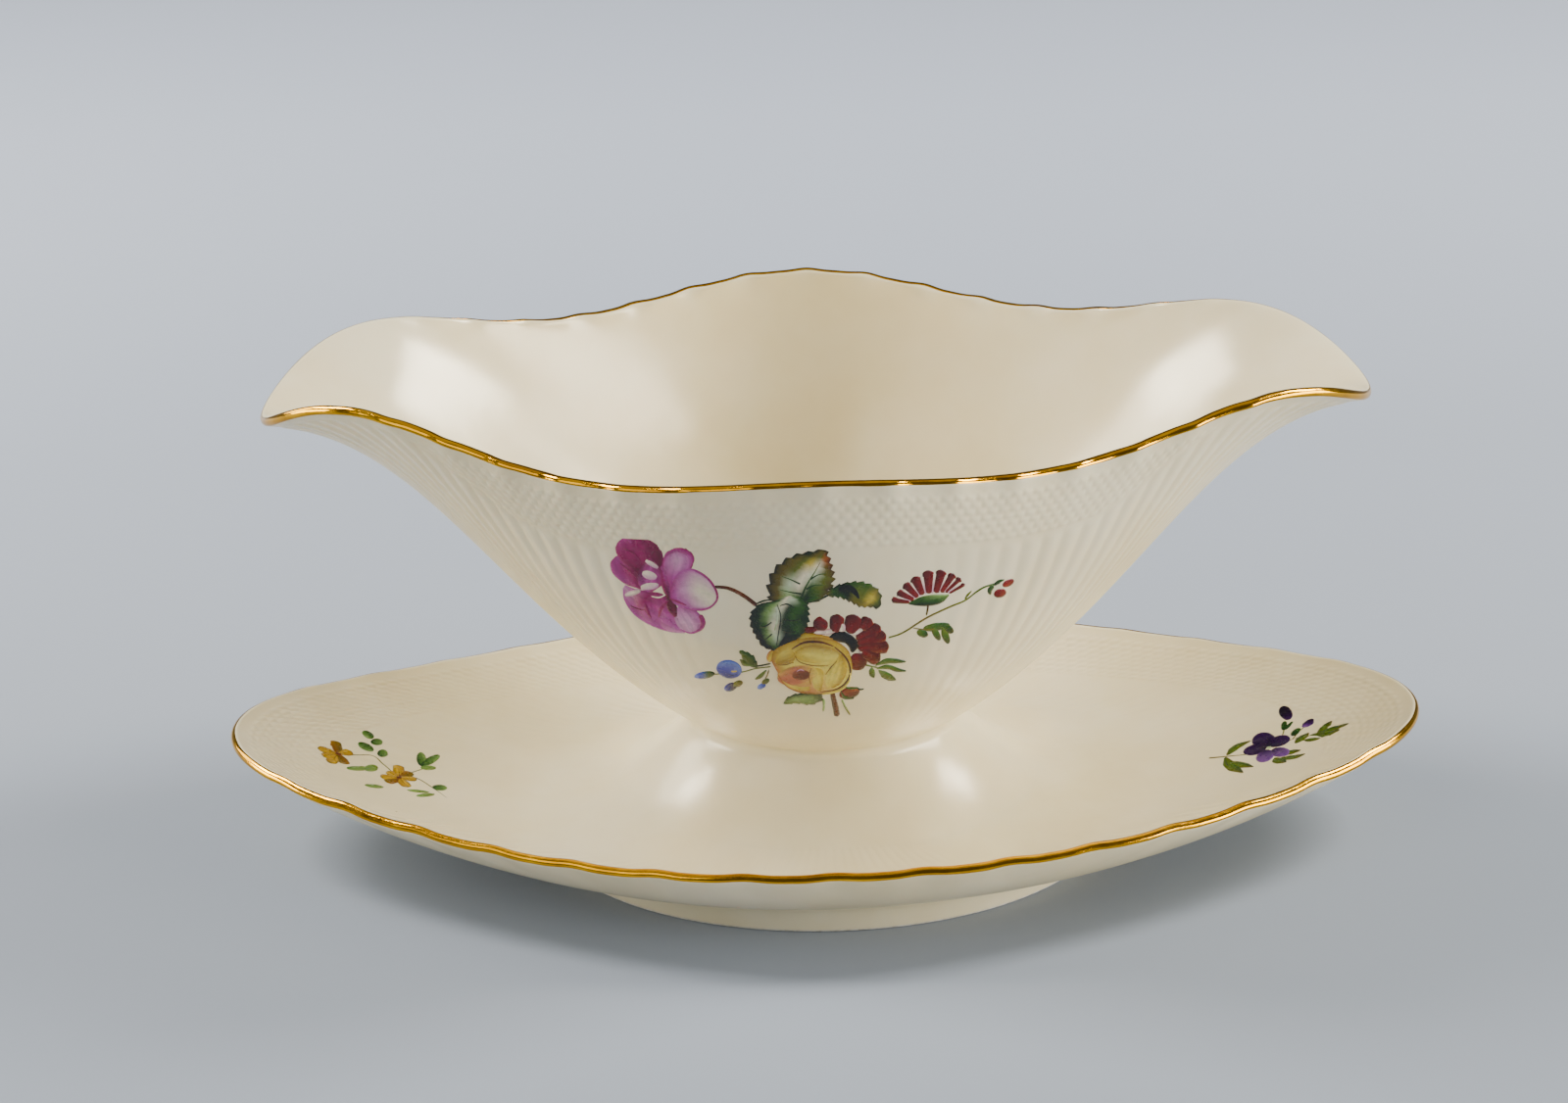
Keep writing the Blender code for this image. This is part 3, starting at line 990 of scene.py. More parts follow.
def paint_peony(art):
    """The purple peony: outer petals, cup, curled petals and folds, from the back to the front."""
    pale_edge = wash(
        [MAUVE, BLUSH, MAUVE], [MAUVE, MAGENTA, MAGENTA], [MAUVE, MAUVE, MAGENTA], [BLUSH, MAUVE, MAUVE],
    )
    art.patch(
        [(-38.9, 16.6), (-38.7, 14.2), (-37, 11.5), (-34, 9.3), (-30.5, 8.0), (-27.2, 7.6)],
        [(-38.5, 17.2), (-36.5, 16.4), (-34, 15.9), (-31, 15.2), (-28.9, 12.2), (-27, 8.2)], pale_edge,
    )
    art.patch(
        [(-28.4, 12.9), (-29.5, 10.6), (-28.4, 8.4), (-26.2, 7.5)],
        [(-28.2, 12.9), (-25, 12), (-23.5, 9.8), (-24.2, 8.1), (-26, 7.5)],
        wash([MAUVE, MAUVE, MAGENTA], [BLUSH, BLUSH, MAUVE], [MAUVE, BLUSH, MAGENTA], edge=MAUVE, rim=0.24),
    )
    art.blob((-37.0, 15.6), (3.4, 1.6), 15, wash([MAUVE, MILK, MAUVE], edge=MAUVE, rim=0.35))
    art.patch(
        [(-35.3, 16.2), (-38.3, 17.2), (-40.7, 19.2), (-41.2, 21.3), (-40.1, 22.7)],
        [(-35.0, 16.4), (-34.9, 18.6), (-36, 20.9), (-37.9, 22.5), (-39.8, 22.8)],
        wash(
            [MAGENTA, PLUM], [MAUVE, MAGENTA, PLUM], [MAGENTA, MAUVE, MAGENTA], edge=MAGENTA, rim=0.16,
            streak=0.09,
        ),
        1,
    )
    art.patch(
        [(-34.8, 20.0), (-38.4, 21.0), (-40.1, 23.6), (-39.6, 25.4), (-38.2, 26.0), (-36.8, 24.4)],
        [(-34.4, 20.0), (-31.5, 20.3), (-31.0, 22.6), (-32.2, 24.7), (-34.2, 25.7), (-36.5, 24.5)],
        wash(
            [PLUM, PLUM], [MAGENTA, MAGENTA, PLUM], [MAUVE, MAGENTA, MAGENTA], edge=MAGENTA, rim=0.14,
            streak=0.09,
        ),
        2,
    )
    art.patch(
        [(-29.8, 15.6), (-31.5, 19), (-31.0, 22), (-29.2, 23.4)],
        [(-29.4, 15.6), (-27.2, 18.2), (-25.5, 20.2), (-25.4, 21.9), (-26.8, 23.2), (-28.8, 23.5)],
        wash(
            [MAGENTA, MAGENTA], [MAGENTA, MAUVE, MAUVE], [MAUVE, BLUSH, MAUVE], [MAGENTA, MAUVE, MAGENTA],
            edge=MAGENTA, rim=0.3, streak=0.1,
        ),
        1,
    )
    art.patch(
        [(-30.2, 14.4), (-29.8, 17), (-28.2, 19.5), (-25.8, 19.9), (-23, 18.4), (-21.3, 16), (-20.9, 14.4)],
        [(-30.2, 14.0), (-27.7, 12.5), (-25, 12.0), (-22.7, 12.3), (-21.3, 13.2), (-20.9, 14.1)],
        wash(
            [MAGENTA, MAGENTA], [MAGENTA, MAUVE, MAUVE], [MAUVE, BLUSH, MAUVE], [BLUSH, MILK, BLUSH],
            [BLUSH, MILK, MILK], [MAUVE, MILK, BLUSH], edge=MAUVE, rim=0.24, streak=0.05,
        ),
        2,
    )
    art.patch(
        [(-31.7, 20.8), (-31.8, 18), (-31.3, 16), (-30.4, 14.1)],
        [(-31.3, 20.8), (-30.2, 18), (-29.6, 16), (-29.8, 14.1)],
        wash([MAGENTA, MAUVE], [PLUM, MAGENTA, MAUVE], [PLUM, PLUM], streak=0.2), 3,
    )
    art.patch(
        [(-33.4, 22.4), (-35.9, 20), (-36, 17.2), (-34, 15.6)],
        [(-33.2, 22.4), (-31.3, 20), (-31, 17.4), (-33.4, 15.6)],
        wash([MAGENTA, PLUM], [PLUM, MAUVE, MAGENTA], [MAUVE, MAGENTA], streak=0.15), 3,
    )
    art.blobs(
        (((-33.2, 21.0), (3.0, 1.5), -32), ((-33.7, 18.9), (3.0, 2.2), -20), ((-33.7, 16.8), (3.6, 2.0), 5)),
        wash([MILK, MILK, BLUSH], [MILK, BLUSH, MAUVE], edge=MAUVE, rim=0.22, streak=0.03), 4,
    )
    art.stroke([(-33.6, 14.9), (-32, 14.6), (-30.6, 15.2)], (0.2, 0.35, 0.2), wash(MILK), 4)
    art.patch(
        [(-30.6, 14.6), (-30.6, 12.4), (-29.2, 10.6)], [(-29.9, 14.6), (-28.6, 12.8), (-28.6, 10.8)],
        wash([PLUM, PLUM], [PLUM, PLUM], [MAGENTA, PLUM]), 3,
    )
    art.strokes(
        (
            [(-30.2, 14.5), (-28.6, 13.8), (-26.6, 12.9)], [(-30.4, 14.8), (-31.2, 17.2), (-31.4, 20)],
            [(-34.8, 13.8), (-34.2, 11.8), (-33.5, 10.6)], [(-30.0, 14.2), (-31.6, 12.6), (-32.2, 10.6)],
        ),
        (0.3, 0.8, 0.2), wash(MAGENTA), 4,
    )
    art.stroke(
        [(-31.0, 21.6), (-30.2, 22.9), (-28.4, 23.5), (-26.6, 23.1), (-25.5, 21.8), (-25.9, 20.2)],
        (0.3, 0.7, 1.0, 0.9, 0.3), wash([MAGENTA, MAUVE]), 4,
    )
    art.stroke(
        [
            (-27.6, 19.6), (-25.6, 19.8), (-23, 18.3), (-21.3, 16), (-21, 14), (-22.6, 12.4), (-25, 12.1),
            (-27.6, 12.7),
        ],
        (0.2, 0.4, 0.45, 0.4, 0.45, 0.3), wash(MAUVE, MAGENTA, MAUVE), 4,
    )
    art.stroke(
        [(-38.6, 16.4), (-38.4, 14.2), (-36.8, 11.7), (-33.8, 9.6), (-30.5, 8.3)], (0.2, 0.4, 0.5, 0.2),
        wash(MAUVE), 2,
    )
    art.stroke(
        [(-24.4, 11.2), (-23.8, 9.8), (-24.3, 8.4), (-26.2, 7.7), (-28.2, 8.5)], (0.8, 1.0, 0.5, 0.3, 0.2),
        wash(MAGENTA, MAUVE), 2,
    )
    art.strokes(
        (
            [(-39.4, 21.4), (-37.6, 20), (-36, 18.2)], [(-38.6, 24.2), (-36.6, 23.2), (-35.2, 21.4)],
            [(-32.6, 23.6), (-33.4, 22.6), (-34, 21.4)], [(-37.6, 13.2), (-35.6, 12.4), (-33.8, 12.6)],
        ),
        (0.15, 0.4, 0.15), wash(PLUM, MAGENTA), 4,
    )


def paint_leaves(art):
    """The twig, the two big toothed leaves and the small leaf behind the aster."""
    art.stroke(
        [(-21.5, 16.4), (-18.7, 16.0), (-16, 14.6), (-13.4, 12.6)], (0.5, 0.65, 0.7),
        wash(BARK, BROWN, BARK), 3,
    )
    art.stroke([(-13.6, 12.9), (-12, 13.5), (-10.4, 13.6)], (0.3, 0.3, 0.2), wash(PINE), 3)
    art.stroke([(-4, 12.9), (-1.6, 13.4), (0.4, 14.3), (2, 14.7)], (0.3, 0.35, 0.3), wash(PINE), 3)
    big = wash(
        [BLACK_GREEN, PINE, BLACK_GREEN, BLACK_GREEN], [BLACK_GREEN, PINE, MOSS, PINE, LEAF, OLIVE],
        [BLACK_GREEN, OLIVE, SAGE, LEAF, PINE, LEAF, OLIVE],
        [BLACK_GREEN, OLIVE, MINT, MILK, LEAF, MOSS, BARK],
        [BLACK_GREEN, OLIVE, MOSS, MILK, MINT, MOSS, OLIVE], [PINE, OLIVE, MOSS, STRAW, MILK, OLIVE, BARK],
        [BLACK_GREEN, PINE, OLIVE, MOSS, TAN, BARK], [BLACK_GREEN, OLIVE, PINE], edge=BLACK_GREEN, rim=0.08,
        streak=0.06,
    )
    art.patch(
        [
            (-4.9, 13.2), (-9.8, 13.2), (-10.9, 15.4), (-10.1, 18.6), (-7.9, 20.8), (-5.2, 22.0),
            (-2.5, 22.5), (-0.4, 22.9),
        ],
        [
            (-4.5, 13.0), (-1.8, 13.2), (0.2, 15.2), (1.0, 17.6), (0.7, 19.6), (0.3, 21.2), (-0.1, 22.2),
            (-0.2, 22.9),
        ],
        big, 1, teeth=10, bite=0.95,
    )
    art.stroke(
        [(-5, 13.6), (-4, 16), (-2.2, 18.8), (-1, 20.8)], (0.8, 0.5, 0.2), wash(PINE, LEAF, OLIVE), 2,
    )
    art.strokes(
        (
            [(-4.2, 15.4), (-2.4, 16.2), (-0.4, 16.2)], [(-3.4, 17.2), (-1.6, 18.2), (0.2, 18.4)],
            [(-4.6, 14.6), (-6.8, 15), (-9.2, 15.6)], [(-4.8, 16.4), (-6.8, 17.4), (-8.8, 18.2)],
        ),
        (0.7, 0.4, 0.15), wash(PINE, LEAF), 2,
    )
    front = wash(
        [SAGE, MILK, MILK, SAGE, LEAF], [PINE, LEAF, MILK, MINT, MINT, LEAF, PINE],
        [BLACK_GREEN, LEAF, SAGE, MILK, PINE, LEAF, LEAF, PINE],
        [BLACK_GREEN, PINE, SAGE, MINT, PINE, LEAF, PINE, PINE],
        [BLACK_GREEN, PINE, LEAF, MILK, PINE, PINE, LEAF, BLACK_GREEN],
        [BLACK_GREEN, BLACK_GREEN, SAGE, MINT, BLACK_GREEN, PINE, BLACK_GREEN],
        [BLACK_GREEN, BLACK_GREEN, LEAF, BLACK_GREEN, BLACK_GREEN], [BLACK_GREEN, BLACK_GREEN],
        edge=BLACK_GREEN, rim=0.07, streak=0.05,
    )
    art.patch(
        [(-7.2, 14.4), (-10, 13.4), (-13.2, 12.6), (-14.6, 10.2), (-13.8, 7.2), (-12.2, 4.8), (-9.9, 3.9)],
        [(-6.8, 14.4), (-4.4, 13.4), (-3.7, 11.2), (-4.1, 8.6), (-5.6, 6.4), (-7.8, 4.8), (-9.6, 3.9)],
        front, 3, teeth=13, bite=0.6,
    )
    art.stroke(
        [(-9.6, 13.0), (-8.9, 10.4), (-9.4, 7.4), (-9.9, 4.6)], (0.3, 0.5, 0.3), wash(PINE, BLACK_GREEN), 4,
    )
    art.stroke([(-9.7, 12.6), (-9.6, 10), (-10.2, 7.6)], (0.9, 0.8, 0.3), wash(MINT, MINT, SAGE), 4)
    art.stroke([(-9.3, 12.4), (-7.6, 12.8), (-6, 11.8)], (0.25, 0.6, 0.2), wash(PINE), 4)
    art.strokes(
        (
            [(-8.8, 10), (-6.8, 9.6), (-4.9, 10)], [(-9, 8), (-7.4, 7.4), (-5.8, 7.6)],
            [(-10.4, 9.6), (-12, 8.6), (-13.4, 8.6)], [(-10.4, 7.4), (-11.6, 6.4), (-12.4, 6)],
        ),
        (0.5, 0.5, 0.15), wash(PINE, BLACK_GREEN), 4,
    )
    art.patch(
        [(-9.9, 4.1), (-8.9, 6.4), (-7.0, 7.2), (-5.4, 7.0)],
        [(-9.5, 3.9), (-8, 4.6), (-6.4, 5.8), (-5.2, 6.7)], wash(BLACK_GREEN, BLACK_GREEN, PINE), 4,
    )
    art.patch(
        [(-0.2, 14.4), (1.4, 15.6), (3.9, 16.3), (6.4, 16.5), (9.0, 15.6), (10.2, 13.9), (10.0, 11.7)],
        [(0.0, 14.2), (2.2, 14.0), (4.5, 13.0), (6.4, 12.0), (8.2, 11.9), (9.4, 11.6), (9.8, 11.6)],
        wash(
            [OLIVE, OLIVE], [PINE, LEAF, PINE], [BLACK_GREEN, BLACK_GREEN, LEAF], [LEAF, BLACK_GREEN, PINE],
            [LEAF, MOSS, OLIVE], [LEAF, MOSS, OLIVE], [PINE, STRAW, OLIVE], [PINE, MOSS, BLACK_GREEN],
            [BLACK_GREEN, BLACK_GREEN], edge=PINE, rim=0.12,
        ),
        1, teeth=9, bite=0.5,
    )
    art.stroke(
        [(2, 15.2), (4.2, 15.6), (5.6, 14.4), (6.1, 13.2)], (0.9, 1.7, 1.5, 0.3), wash(BLACK_GREEN), 2,
    )


def paint_aster(art):
    """The dark red aster with its pale outer petals."""
    art.blobs(
        (
            ((0.2, 7.3), (3.0, 1.2), 10), ((2.6, 8.0), (1.6, 2.2), 90), ((5.8, 7.2), (2.6, 1.2), 30),
            ((7.4, 5.6), (3.2, 1.2), 18), ((6.9, 3.2), (2.6, 1.3), -20), ((-1.4, 7.2), (2.6, 1.0), 0),
        ),
        wash([BLUSH, MILK, BLUSH], edge=ROSE, rim=0.4), 2,
    )
    petals = (
        ((-2.0, 7.8), (-4.5, 7.5), 1.0), ((0.0, 8.1), (-2.7, 9.4), 1.8), ((1.3, 7.0), (2.0, 10.6), 1.9),
        ((4.0, 6.8), (5.5, 10.4), 2.3), ((6.2, 7.5), (8.3, 9.6), 1.9), ((5.3, 5.7), (10.1, 8.0), 1.7),
        ((5.5, 4.9), (11.1, 6.4), 1.9), ((5.6, 4.0), (11.6, 4.2), 1.8), ((6.2, 3.5), (9.8, 1.5), 1.8),
        ((4.8, 3.0), (6.3, -0.1), 2.3),
    )
    for base, tip, wide in petals:
        widths = (0.7 * wide, 1.1 * wide, 1.25 * wide, 1.1 * wide)
        art.stroke([base, tip], widths, wash([OXBLOOD, RUST, OXBLOOD], [OXBLOOD, OXBLOOD, RUST]), 3)
    art.patch(
        [(0.0, 6.2), (1.6, 7.3), (3.4, 7.2), (5.1, 6.0), (5.8, 4.4), (4.8, 3.2)],
        [(0.2, 5.9), (1.6, 5.3), (3.1, 5.0), (3.9, 4.2), (4.3, 3.2)], wash(BLACK, BLACK, streak=0), 4,
    )


def paint_rose(art):
    """The yellow rose: outer petals, inner folds, rosy heart and drawn outlines."""
    art.blob((-11.0, 2.9), (2.4, 1.6), 70, wash([TAN, STRAW, TAN], edge=TAN, rim=0.4), 2)
    art.patch(
        [(-6.2, 5.4), (-4.8, 7.2), (-2, 6.9), (1.2, 6.2)], [(-6.0, 5.2), (-3, 5.2), (0, 5.0), (1.2, 5.2)],
        wash([OLIVE, STRAW], [GOLDEN, STRAW], [TAN, YELLOW], edge=OCHRE, rim=0.3), 4,
    )
    art.patch(
        [(-10.9, 2.4), (-10.1, 4.3), (-6.5, 6.0), (-2.5, 6.7), (1.2, 5.8), (3.8, 3.6), (4.5, 0.9)],
        [
            (-10.9, 2.0), (-9.9, 0), (-8.5, -2.6), (-5.5, -4.3), (-1.8, -4.7), (1.5, -3.9), (3.9, -1.8),
            (4.5, 0.6),
        ],
        wash(
            [OCHRE, TAN], [GOLDEN, YELLOW, TAN], [OCHRE, YELLOW, ROSE], [GOLDEN, YELLOW, YELLOW],
            [OCHRE, GOLDEN, YELLOW], edge=OCHRE, rim=0.14, streak=0.06,
        ),
        5,
    )
    art.patch(
        [(-10.3, 1.6), (-9.7, 3.6), (-7.6, 4.5), (-6.3, 3.4)],
        [(-10.2, 1.4), (-8.4, 1.2), (-6.6, 1.6), (-6.2, 3.0)],
        wash([GOLDEN, OCHRE], [YELLOW, OCHRE], [GOLDEN, GOLDEN], edge=OCHRE, rim=0.3), 6,
    )
    art.patch(
        [(-6.7, 3.6), (-4.2, 5.0), (-1, 4.9), (1.4, 4.1), (2.3, 2.9)],
        [(-6.6, 3.4), (-5.6, 2), (-3, 1.2), (0, 1.0), (1.7, 1.6), (2.3, 2.6)],
        wash(
            [GOLDEN, GOLDEN], [OCHRE, YELLOW, GOLDEN], [OCHRE, YELLOW, YELLOW], [OCHRE, YELLOW, GOLDEN],
            edge=OCHRE, rim=0.2, streak=0.05,
        ),
        7,
    )
    art.patch(
        [(2.2, 3.2), (0.6, 1.1), (-0.6, -0.7), (-0.9, -2.6), (0.2, -3.5)],
        [(2.5, 3.2), (3.5, 1.4), (3.6, -0.6), (2.4, -2.6), (0.4, -3.5)],
        wash(
            [GOLDEN, OCHRE], [YELLOW, GOLDEN], [YELLOW, YELLOW, OCHRE], [YELLOW, GOLDEN, BROWN], edge=OCHRE,
            rim=0.18,
        ),
        7,
    )
    art.patch(
        [(-2.7, 0.6), (-3.5, -1.2), (-3.2, -3.2), (-1.8, -4.1)],
        [(-2.4, 0.6), (-0.8, 0.1), (-0.9, -2.2), (-1.6, -4.1)],
        wash([GOLDEN, GOLDEN], [YELLOW, YELLOW, GOLDEN], [GOLDEN, OCHRE], edge=OCHRE, rim=0.2), 6,
    )
    art.blob(
        (-6.0, -0.8), (7.8, 4.4), 8,
        wash([STRAW, ROSE, TAN], [ROSE, ROSE, ROSE], [STRAW, YELLOW, STRAW], edge=STRAW, rim=0.3), 6,
    )
    art.patch(
        [(-9.3, -1.4), (-7.6, -2.2), (-5.2, -2.7), (-3.4, -2.6)],
        [(-9.1, -1.7), (-7.6, -3.4), (-5.4, -4.1), (-3.3, -4.0)],
        wash([STRAW, TAN], [YELLOW, STRAW, TAN], [STRAW, GOLDEN], edge=TAN, rim=0.25), 7,
    )
    art.blob(
        (-5.3, -0.7), (3.5, 2.6), 0, wash([ROSE, WINE, WINE], [WINE, OXBLOOD, WINE], edge=ROSE, rim=0.3), 8,
    )
    art.stroke([(-6.4, -0.2), (-5.4, 0.3), (-4.4, -0.1)], (0.15, 0.35, 0.15), wash(BLUSH), 9)
    dark = wash(BROWN, BARK, BROWN, streak=0.15)
    art.stroke([(-7.2, 4.1), (-4.6, 5.4), (-1.4, 5.4), (1.2, 4.5)], (0.25, 0.75, 0.75, 0.3), dark, 8)
    art.stroke(
        [(1.0, 4.6), (3.0, 2.7), (4.0, 0.6), (3.7, -1.6), (1.6, -3.5), (-2, -4.1)],
        (0.3, 0.65, 0.6, 0.5, 0.2), dark, 8,
    )
    art.strokes(
        (
            [(-6.5, 3.2), (-5.6, 1.8), (-3, 1.0), (0.2, 0.9)], [(-10, 1.3), (-8.2, 1.3), (-6.4, 1.8)],
            [(1.8, 2.0), (0.4, 0.6), (-0.8, -1)], [(-3.3, 0.8), (-3.8, -1.2), (-3.4, -2.8)],
        ),
        (0.2, 0.35, 0.2), wash(OCHRE, BROWN, OCHRE), 8,
    )
    art.stroke(
        [(-9.8, -0.4), (-8.2, -2.7), (-5.5, -4.0), (-2.5, -4.4)], (0.3, 0.45, 0.3), wash(TAN, OCHRE), 8,
    )
    art.stroke(
        [(4.1, -0.3), (3.7, -2.2), (1.8, -3.9), (-1.5, -4.6)], (0.4, 0.6, 0.4), wash(YELLOW, STRAW), 9,
    )


def paint_blue_flowers(art):
    """The blue flowers to the left of the rose, with their buds and leaves."""
    art.stroke(
        [(-22.4, -0.3), (-20, -0.2), (-16.6, 0.0), (-14, 0.6), (-11, 0.9)], (0.2, 0.2, 0.25), wash(MOSS), 0,
    )
    art.blob(
        (-19, 0.6), (4.9, 3.6), -12,
        wash([SKY, BLUE, BLUE], [SKY, BLUE, NAVY], [SKY, SKY, BLUE], edge=BLUE, rim=0.2), 1,
    )
    art.stroke([(-18.9, 0.3), (-18, 0.2), (-17.2, 0.4)], (0.3, 0.7, 0.3), wash(STRAW), 2)
    art.stroke([(-19.5, -0.2), (-18.3, -0.5), (-17.1, -0.1)], (0.15, 0.3, 0.15), wash(NAVY), 3)
    art.stroke([(-20.6, 1.4), (-19.4, 1.9), (-18.3, 1.4)], (0.2, 0.5, 0.2), wash(SKY), 2)
    art.blob((-23.7, -0.4), (4.0, 1.5), 8, wash(SKY, BLUE, LEAF, PINE), 1)
    art.blob((-18.8, -2.8), (2.6, 1.7), 20, wash(BLUE, NAVY, OLIVE), 1)
    art.blob((-17.4, -2.2), (2.0, 1.3), 20, wash(MOSS, OLIVE), 2)
    art.blob((-12.9, -2.8), (1.8, 1.1), 25, wash(SKY, BLUE), 1)
    art.blob((-12.1, -1.9), (1.7, 1.1), 30, wash(OLIVE, LEAF), 1)
    art.patch(
        [(-13.7, 0.7), (-15.6, 1.6), (-17, 4.1)], [(-13.5, 0.9), (-14.4, 3.0), (-16.8, 4.2)],
        wash([LEAF, PINE], [MOSS, LEAF]), 1, 4, 0.3,
    )
    art.patch(
        [(-14.6, 1.0), (-16.4, 1.2), (-17, 2.4)], [(-14.4, 1.3), (-15.6, 2.1), (-16.8, 2.5)],
        wash(LEAF, MOSS), 2,
    )
    art.patch(
        [(-12, 0.4), (-13.4, -0.6), (-14.2, -1.4)], [(-11.8, 0.2), (-12.8, -1.2), (-14.1, -1.6)],
        wash(LEAF, MOSS), 1,
    )
    art.stroke([(-11.4, 0.4), (-11.8, -0.8), (-12.3, -1.6)], (0.25, 0.2), wash(OLIVE), 0)
    art.stroke([(-14.2, 1.0), (-12.6, 1.2), (-11, 1.5)], (0.3, 0.3), wash(PINE), 0)


def paint_foot_of_bouquet(art):
    """Leaves, stalks and a red bud under the rose, and a few blades beside it."""
    art.patch(
        [(-8.9, -6.2), (-7.6, -4.9), (-5, -4.3), (-1.4, -4.4)],
        [(-8.8, -6.3), (-6.2, -6.2), (-3.4, -6.5), (-1.2, -5.6)],
        wash([LEAF, MOSS], [PINE, SAGE, MOSS], [PINE, SAGE, LEAF], [BLACK_GREEN, PINE]), 4, teeth=5,
        bite=0.25,
    )
    art.stroke([(0.5, -4.3), (1.0, -6.6), (1.4, -9.0)], (0.8, 0.95, 1.0), wash([BARK, BROWN, BARK]), 3)
    art.stroke([(-1.2, -5.4), (-1.1, -6.6), (-1.3, -8)], (0.5, 0.4, 0.3), wash(SAGE), 3)
    art.stroke([(2.3, -5.6), (3, -7.2), (3.9, -8.8)], (0.3, 0.4, 0.3), wash(SAGE, OLIVE), 3)
    art.blob((3.8, -4.5), (4.0, 2.3), 12, wash([RUST, WINE, OXBLOOD], [TAN, WINE, PINE]), 3)
    art.patch(
        [(2.0, -4.0), (2.6, -5.6), (4.6, -5.7)], [(2.2, -3.9), (3.2, -4.8), (4.8, -5.3)],
        wash(PINE, LEAF, PINE), 4,
    )
    art.stroke([(5.2, -3.6), (5.9, -3.9), (6.7, -3.7)], (0.5, 0.3, 0.1), wash(PINE), 4)
    art.stroke([(2.9, -3.4), (4.2, -3.6), (5.6, -3.5)], (0.2, 0.4, 0.2), wash(LEAF), 4)
    for points, wide in (
        ([(8.8, 0.6), (11, 1.4), (12.8, 1.4), (14.8, 1.2)], 0.9),
        ([(9.0, 0.0), (11.2, 0.3), (13, -0.3), (14.8, -0.6)], 0.8),
        ([(9.4, -0.2), (10.6, -1.2), (12.8, -2.3)], 1.2), ([(8.2, 0.4), (8.2, -0.8), (8.6, -1.8)], 1.0),
    ):
        art.stroke(points, (0.2, wide, wide, 0.3), wash([MOSS, SAGE], [LEAF, MOSS], [PINE, LEAF]), 2)
    art.stroke([(6.8, 0.8), (8.2, 0.5), (9.4, 0.2)], (0.3, 0.3), wash(MOSS), 1)


def paint_spray(art):
    """The long spray to the right, with a red fan flower, berries and leaves."""
    art.stroke(
        [
            (11.4, 5.8), (14.2, 6.7), (17.9, 8.9), (19.8, 9.9), (23.5, 11.5), (26.3, 12.6), (28.7, 14.3),
            (30.5, 15.2), (33.1, 15.8),
        ],
        (0.3, 0.35, 0.35, 0.3, 0.4), wash(MOSS, OLIVE, MOSS, LEAF), 1,
    )
    art.stroke([(19.2, 12), (19.1, 11), (18.8, 9.8)], (0.4, 0.35, 0.3), wash(BARK, OLIVE), 1)
    petals = (
        ((15.8, 12.6), (12.2, 13.1), 0.9), ((16.6, 13.0), (13.3, 14.5), 1.2),
        ((17.4, 13.4), (14.7, 16.1), 1.4), ((18.3, 13.8), (16.6, 17.4), 1.5),
        ((19.4, 14.0), (19.4, 18.6), 1.6), ((20.7, 14.1), (22.1, 18.6), 1.5),
        ((21.7, 14.2), (24.3, 17.8), 1.2), ((22.5, 14.2), (25.6, 16.9), 0.9),
        ((23.2, 14.0), (26.4, 15.8), 0.55),
    )
    for petal, other in zip(petals, petals[1:]):
        base, tip = [((a[0] + b[0]) / 2, (a[1] + b[1]) / 2) for a, b in zip(petal[:2], other[:2])]
        short = (base[0] * 0.12 + tip[0] * 0.88, base[1] * 0.12 + tip[1] * 0.88)
        art.stroke([base, short], (0.5, 0.9), wash(BLUSH, MILK), 0)
    for base, tip, wide in petals:
        widths = (0.8 * wide, wide, 1.2 * wide, 1.25 * wide)
        art.stroke([base, tip], widths, wash([OXBLOOD, RUST, OXBLOOD], [OXBLOOD, OXBLOOD, RUST]), 1)
    art.patch(
        [(15.4, 12.3), (17.5, 13.4), (20, 13.9), (23.3, 13.9)],
        [(15.5, 12.1), (17.5, 11.7), (20, 11.7), (22, 12.3), (23.3, 13.6)],
        wash([LEAF, BLACK_GREEN], [LEAF, BLACK_GREEN], [SAGE, LEAF, BLACK_GREEN], [SAGE, LEAF]), 2,
    )
    art.blob((33.0, 13.8), (2.5, 1.8), 15, wash([RUST, OXBLOOD], [RUST, WINE]), 2)
    art.blob((34.6, 15.7), (2.5, 1.4), 28, wash([WINE, RUST], [RUST, WINE]), 2)
    art.stroke([(31.9, 15.4), (31, 14.4), (31.2, 13.5)], (0.5, 0.8, 0.5), wash(LEAF, PINE), 3)
    art.stroke([(31.8, 15.3), (33, 16.1), (34, 16.4)], (0.5, 0.6, 0.2), wash(PINE, LEAF), 3)
    art.stroke([(26.2, 12.7), (26.8, 13.6), (27.7, 14.5)], (0.3, 0.4, 0.15), wash(MOSS), 2)
    for centre, size, turn, shades in (
        ((20.7, 7.7), (5.2, 1.7), 8, (MOSS, LEAF, LEAF)),
        ((18.0, 6.5), (2.3, 1.6), -20, (MOSS, LEAF, PINE)),
        ((20.6, 6.4), (3.0, 1.4), -62, (MOSS, LEAF, PINE)),
        ((22.4, 5.9), (3.2, 1.5), -70, (MOSS, LEAF, PINE)), ((22.9, 7.3), (2.6, 1.6), -40, (LEAF, PINE)),
    ):
        art.blob(centre, size, turn, wash(*shades), 2)
    art.stroke([(16.2, 7.6), (18.2, 7.3), (20.4, 7.3)], (0.2, 0.3, 0.3), wash(OLIVE), 3)


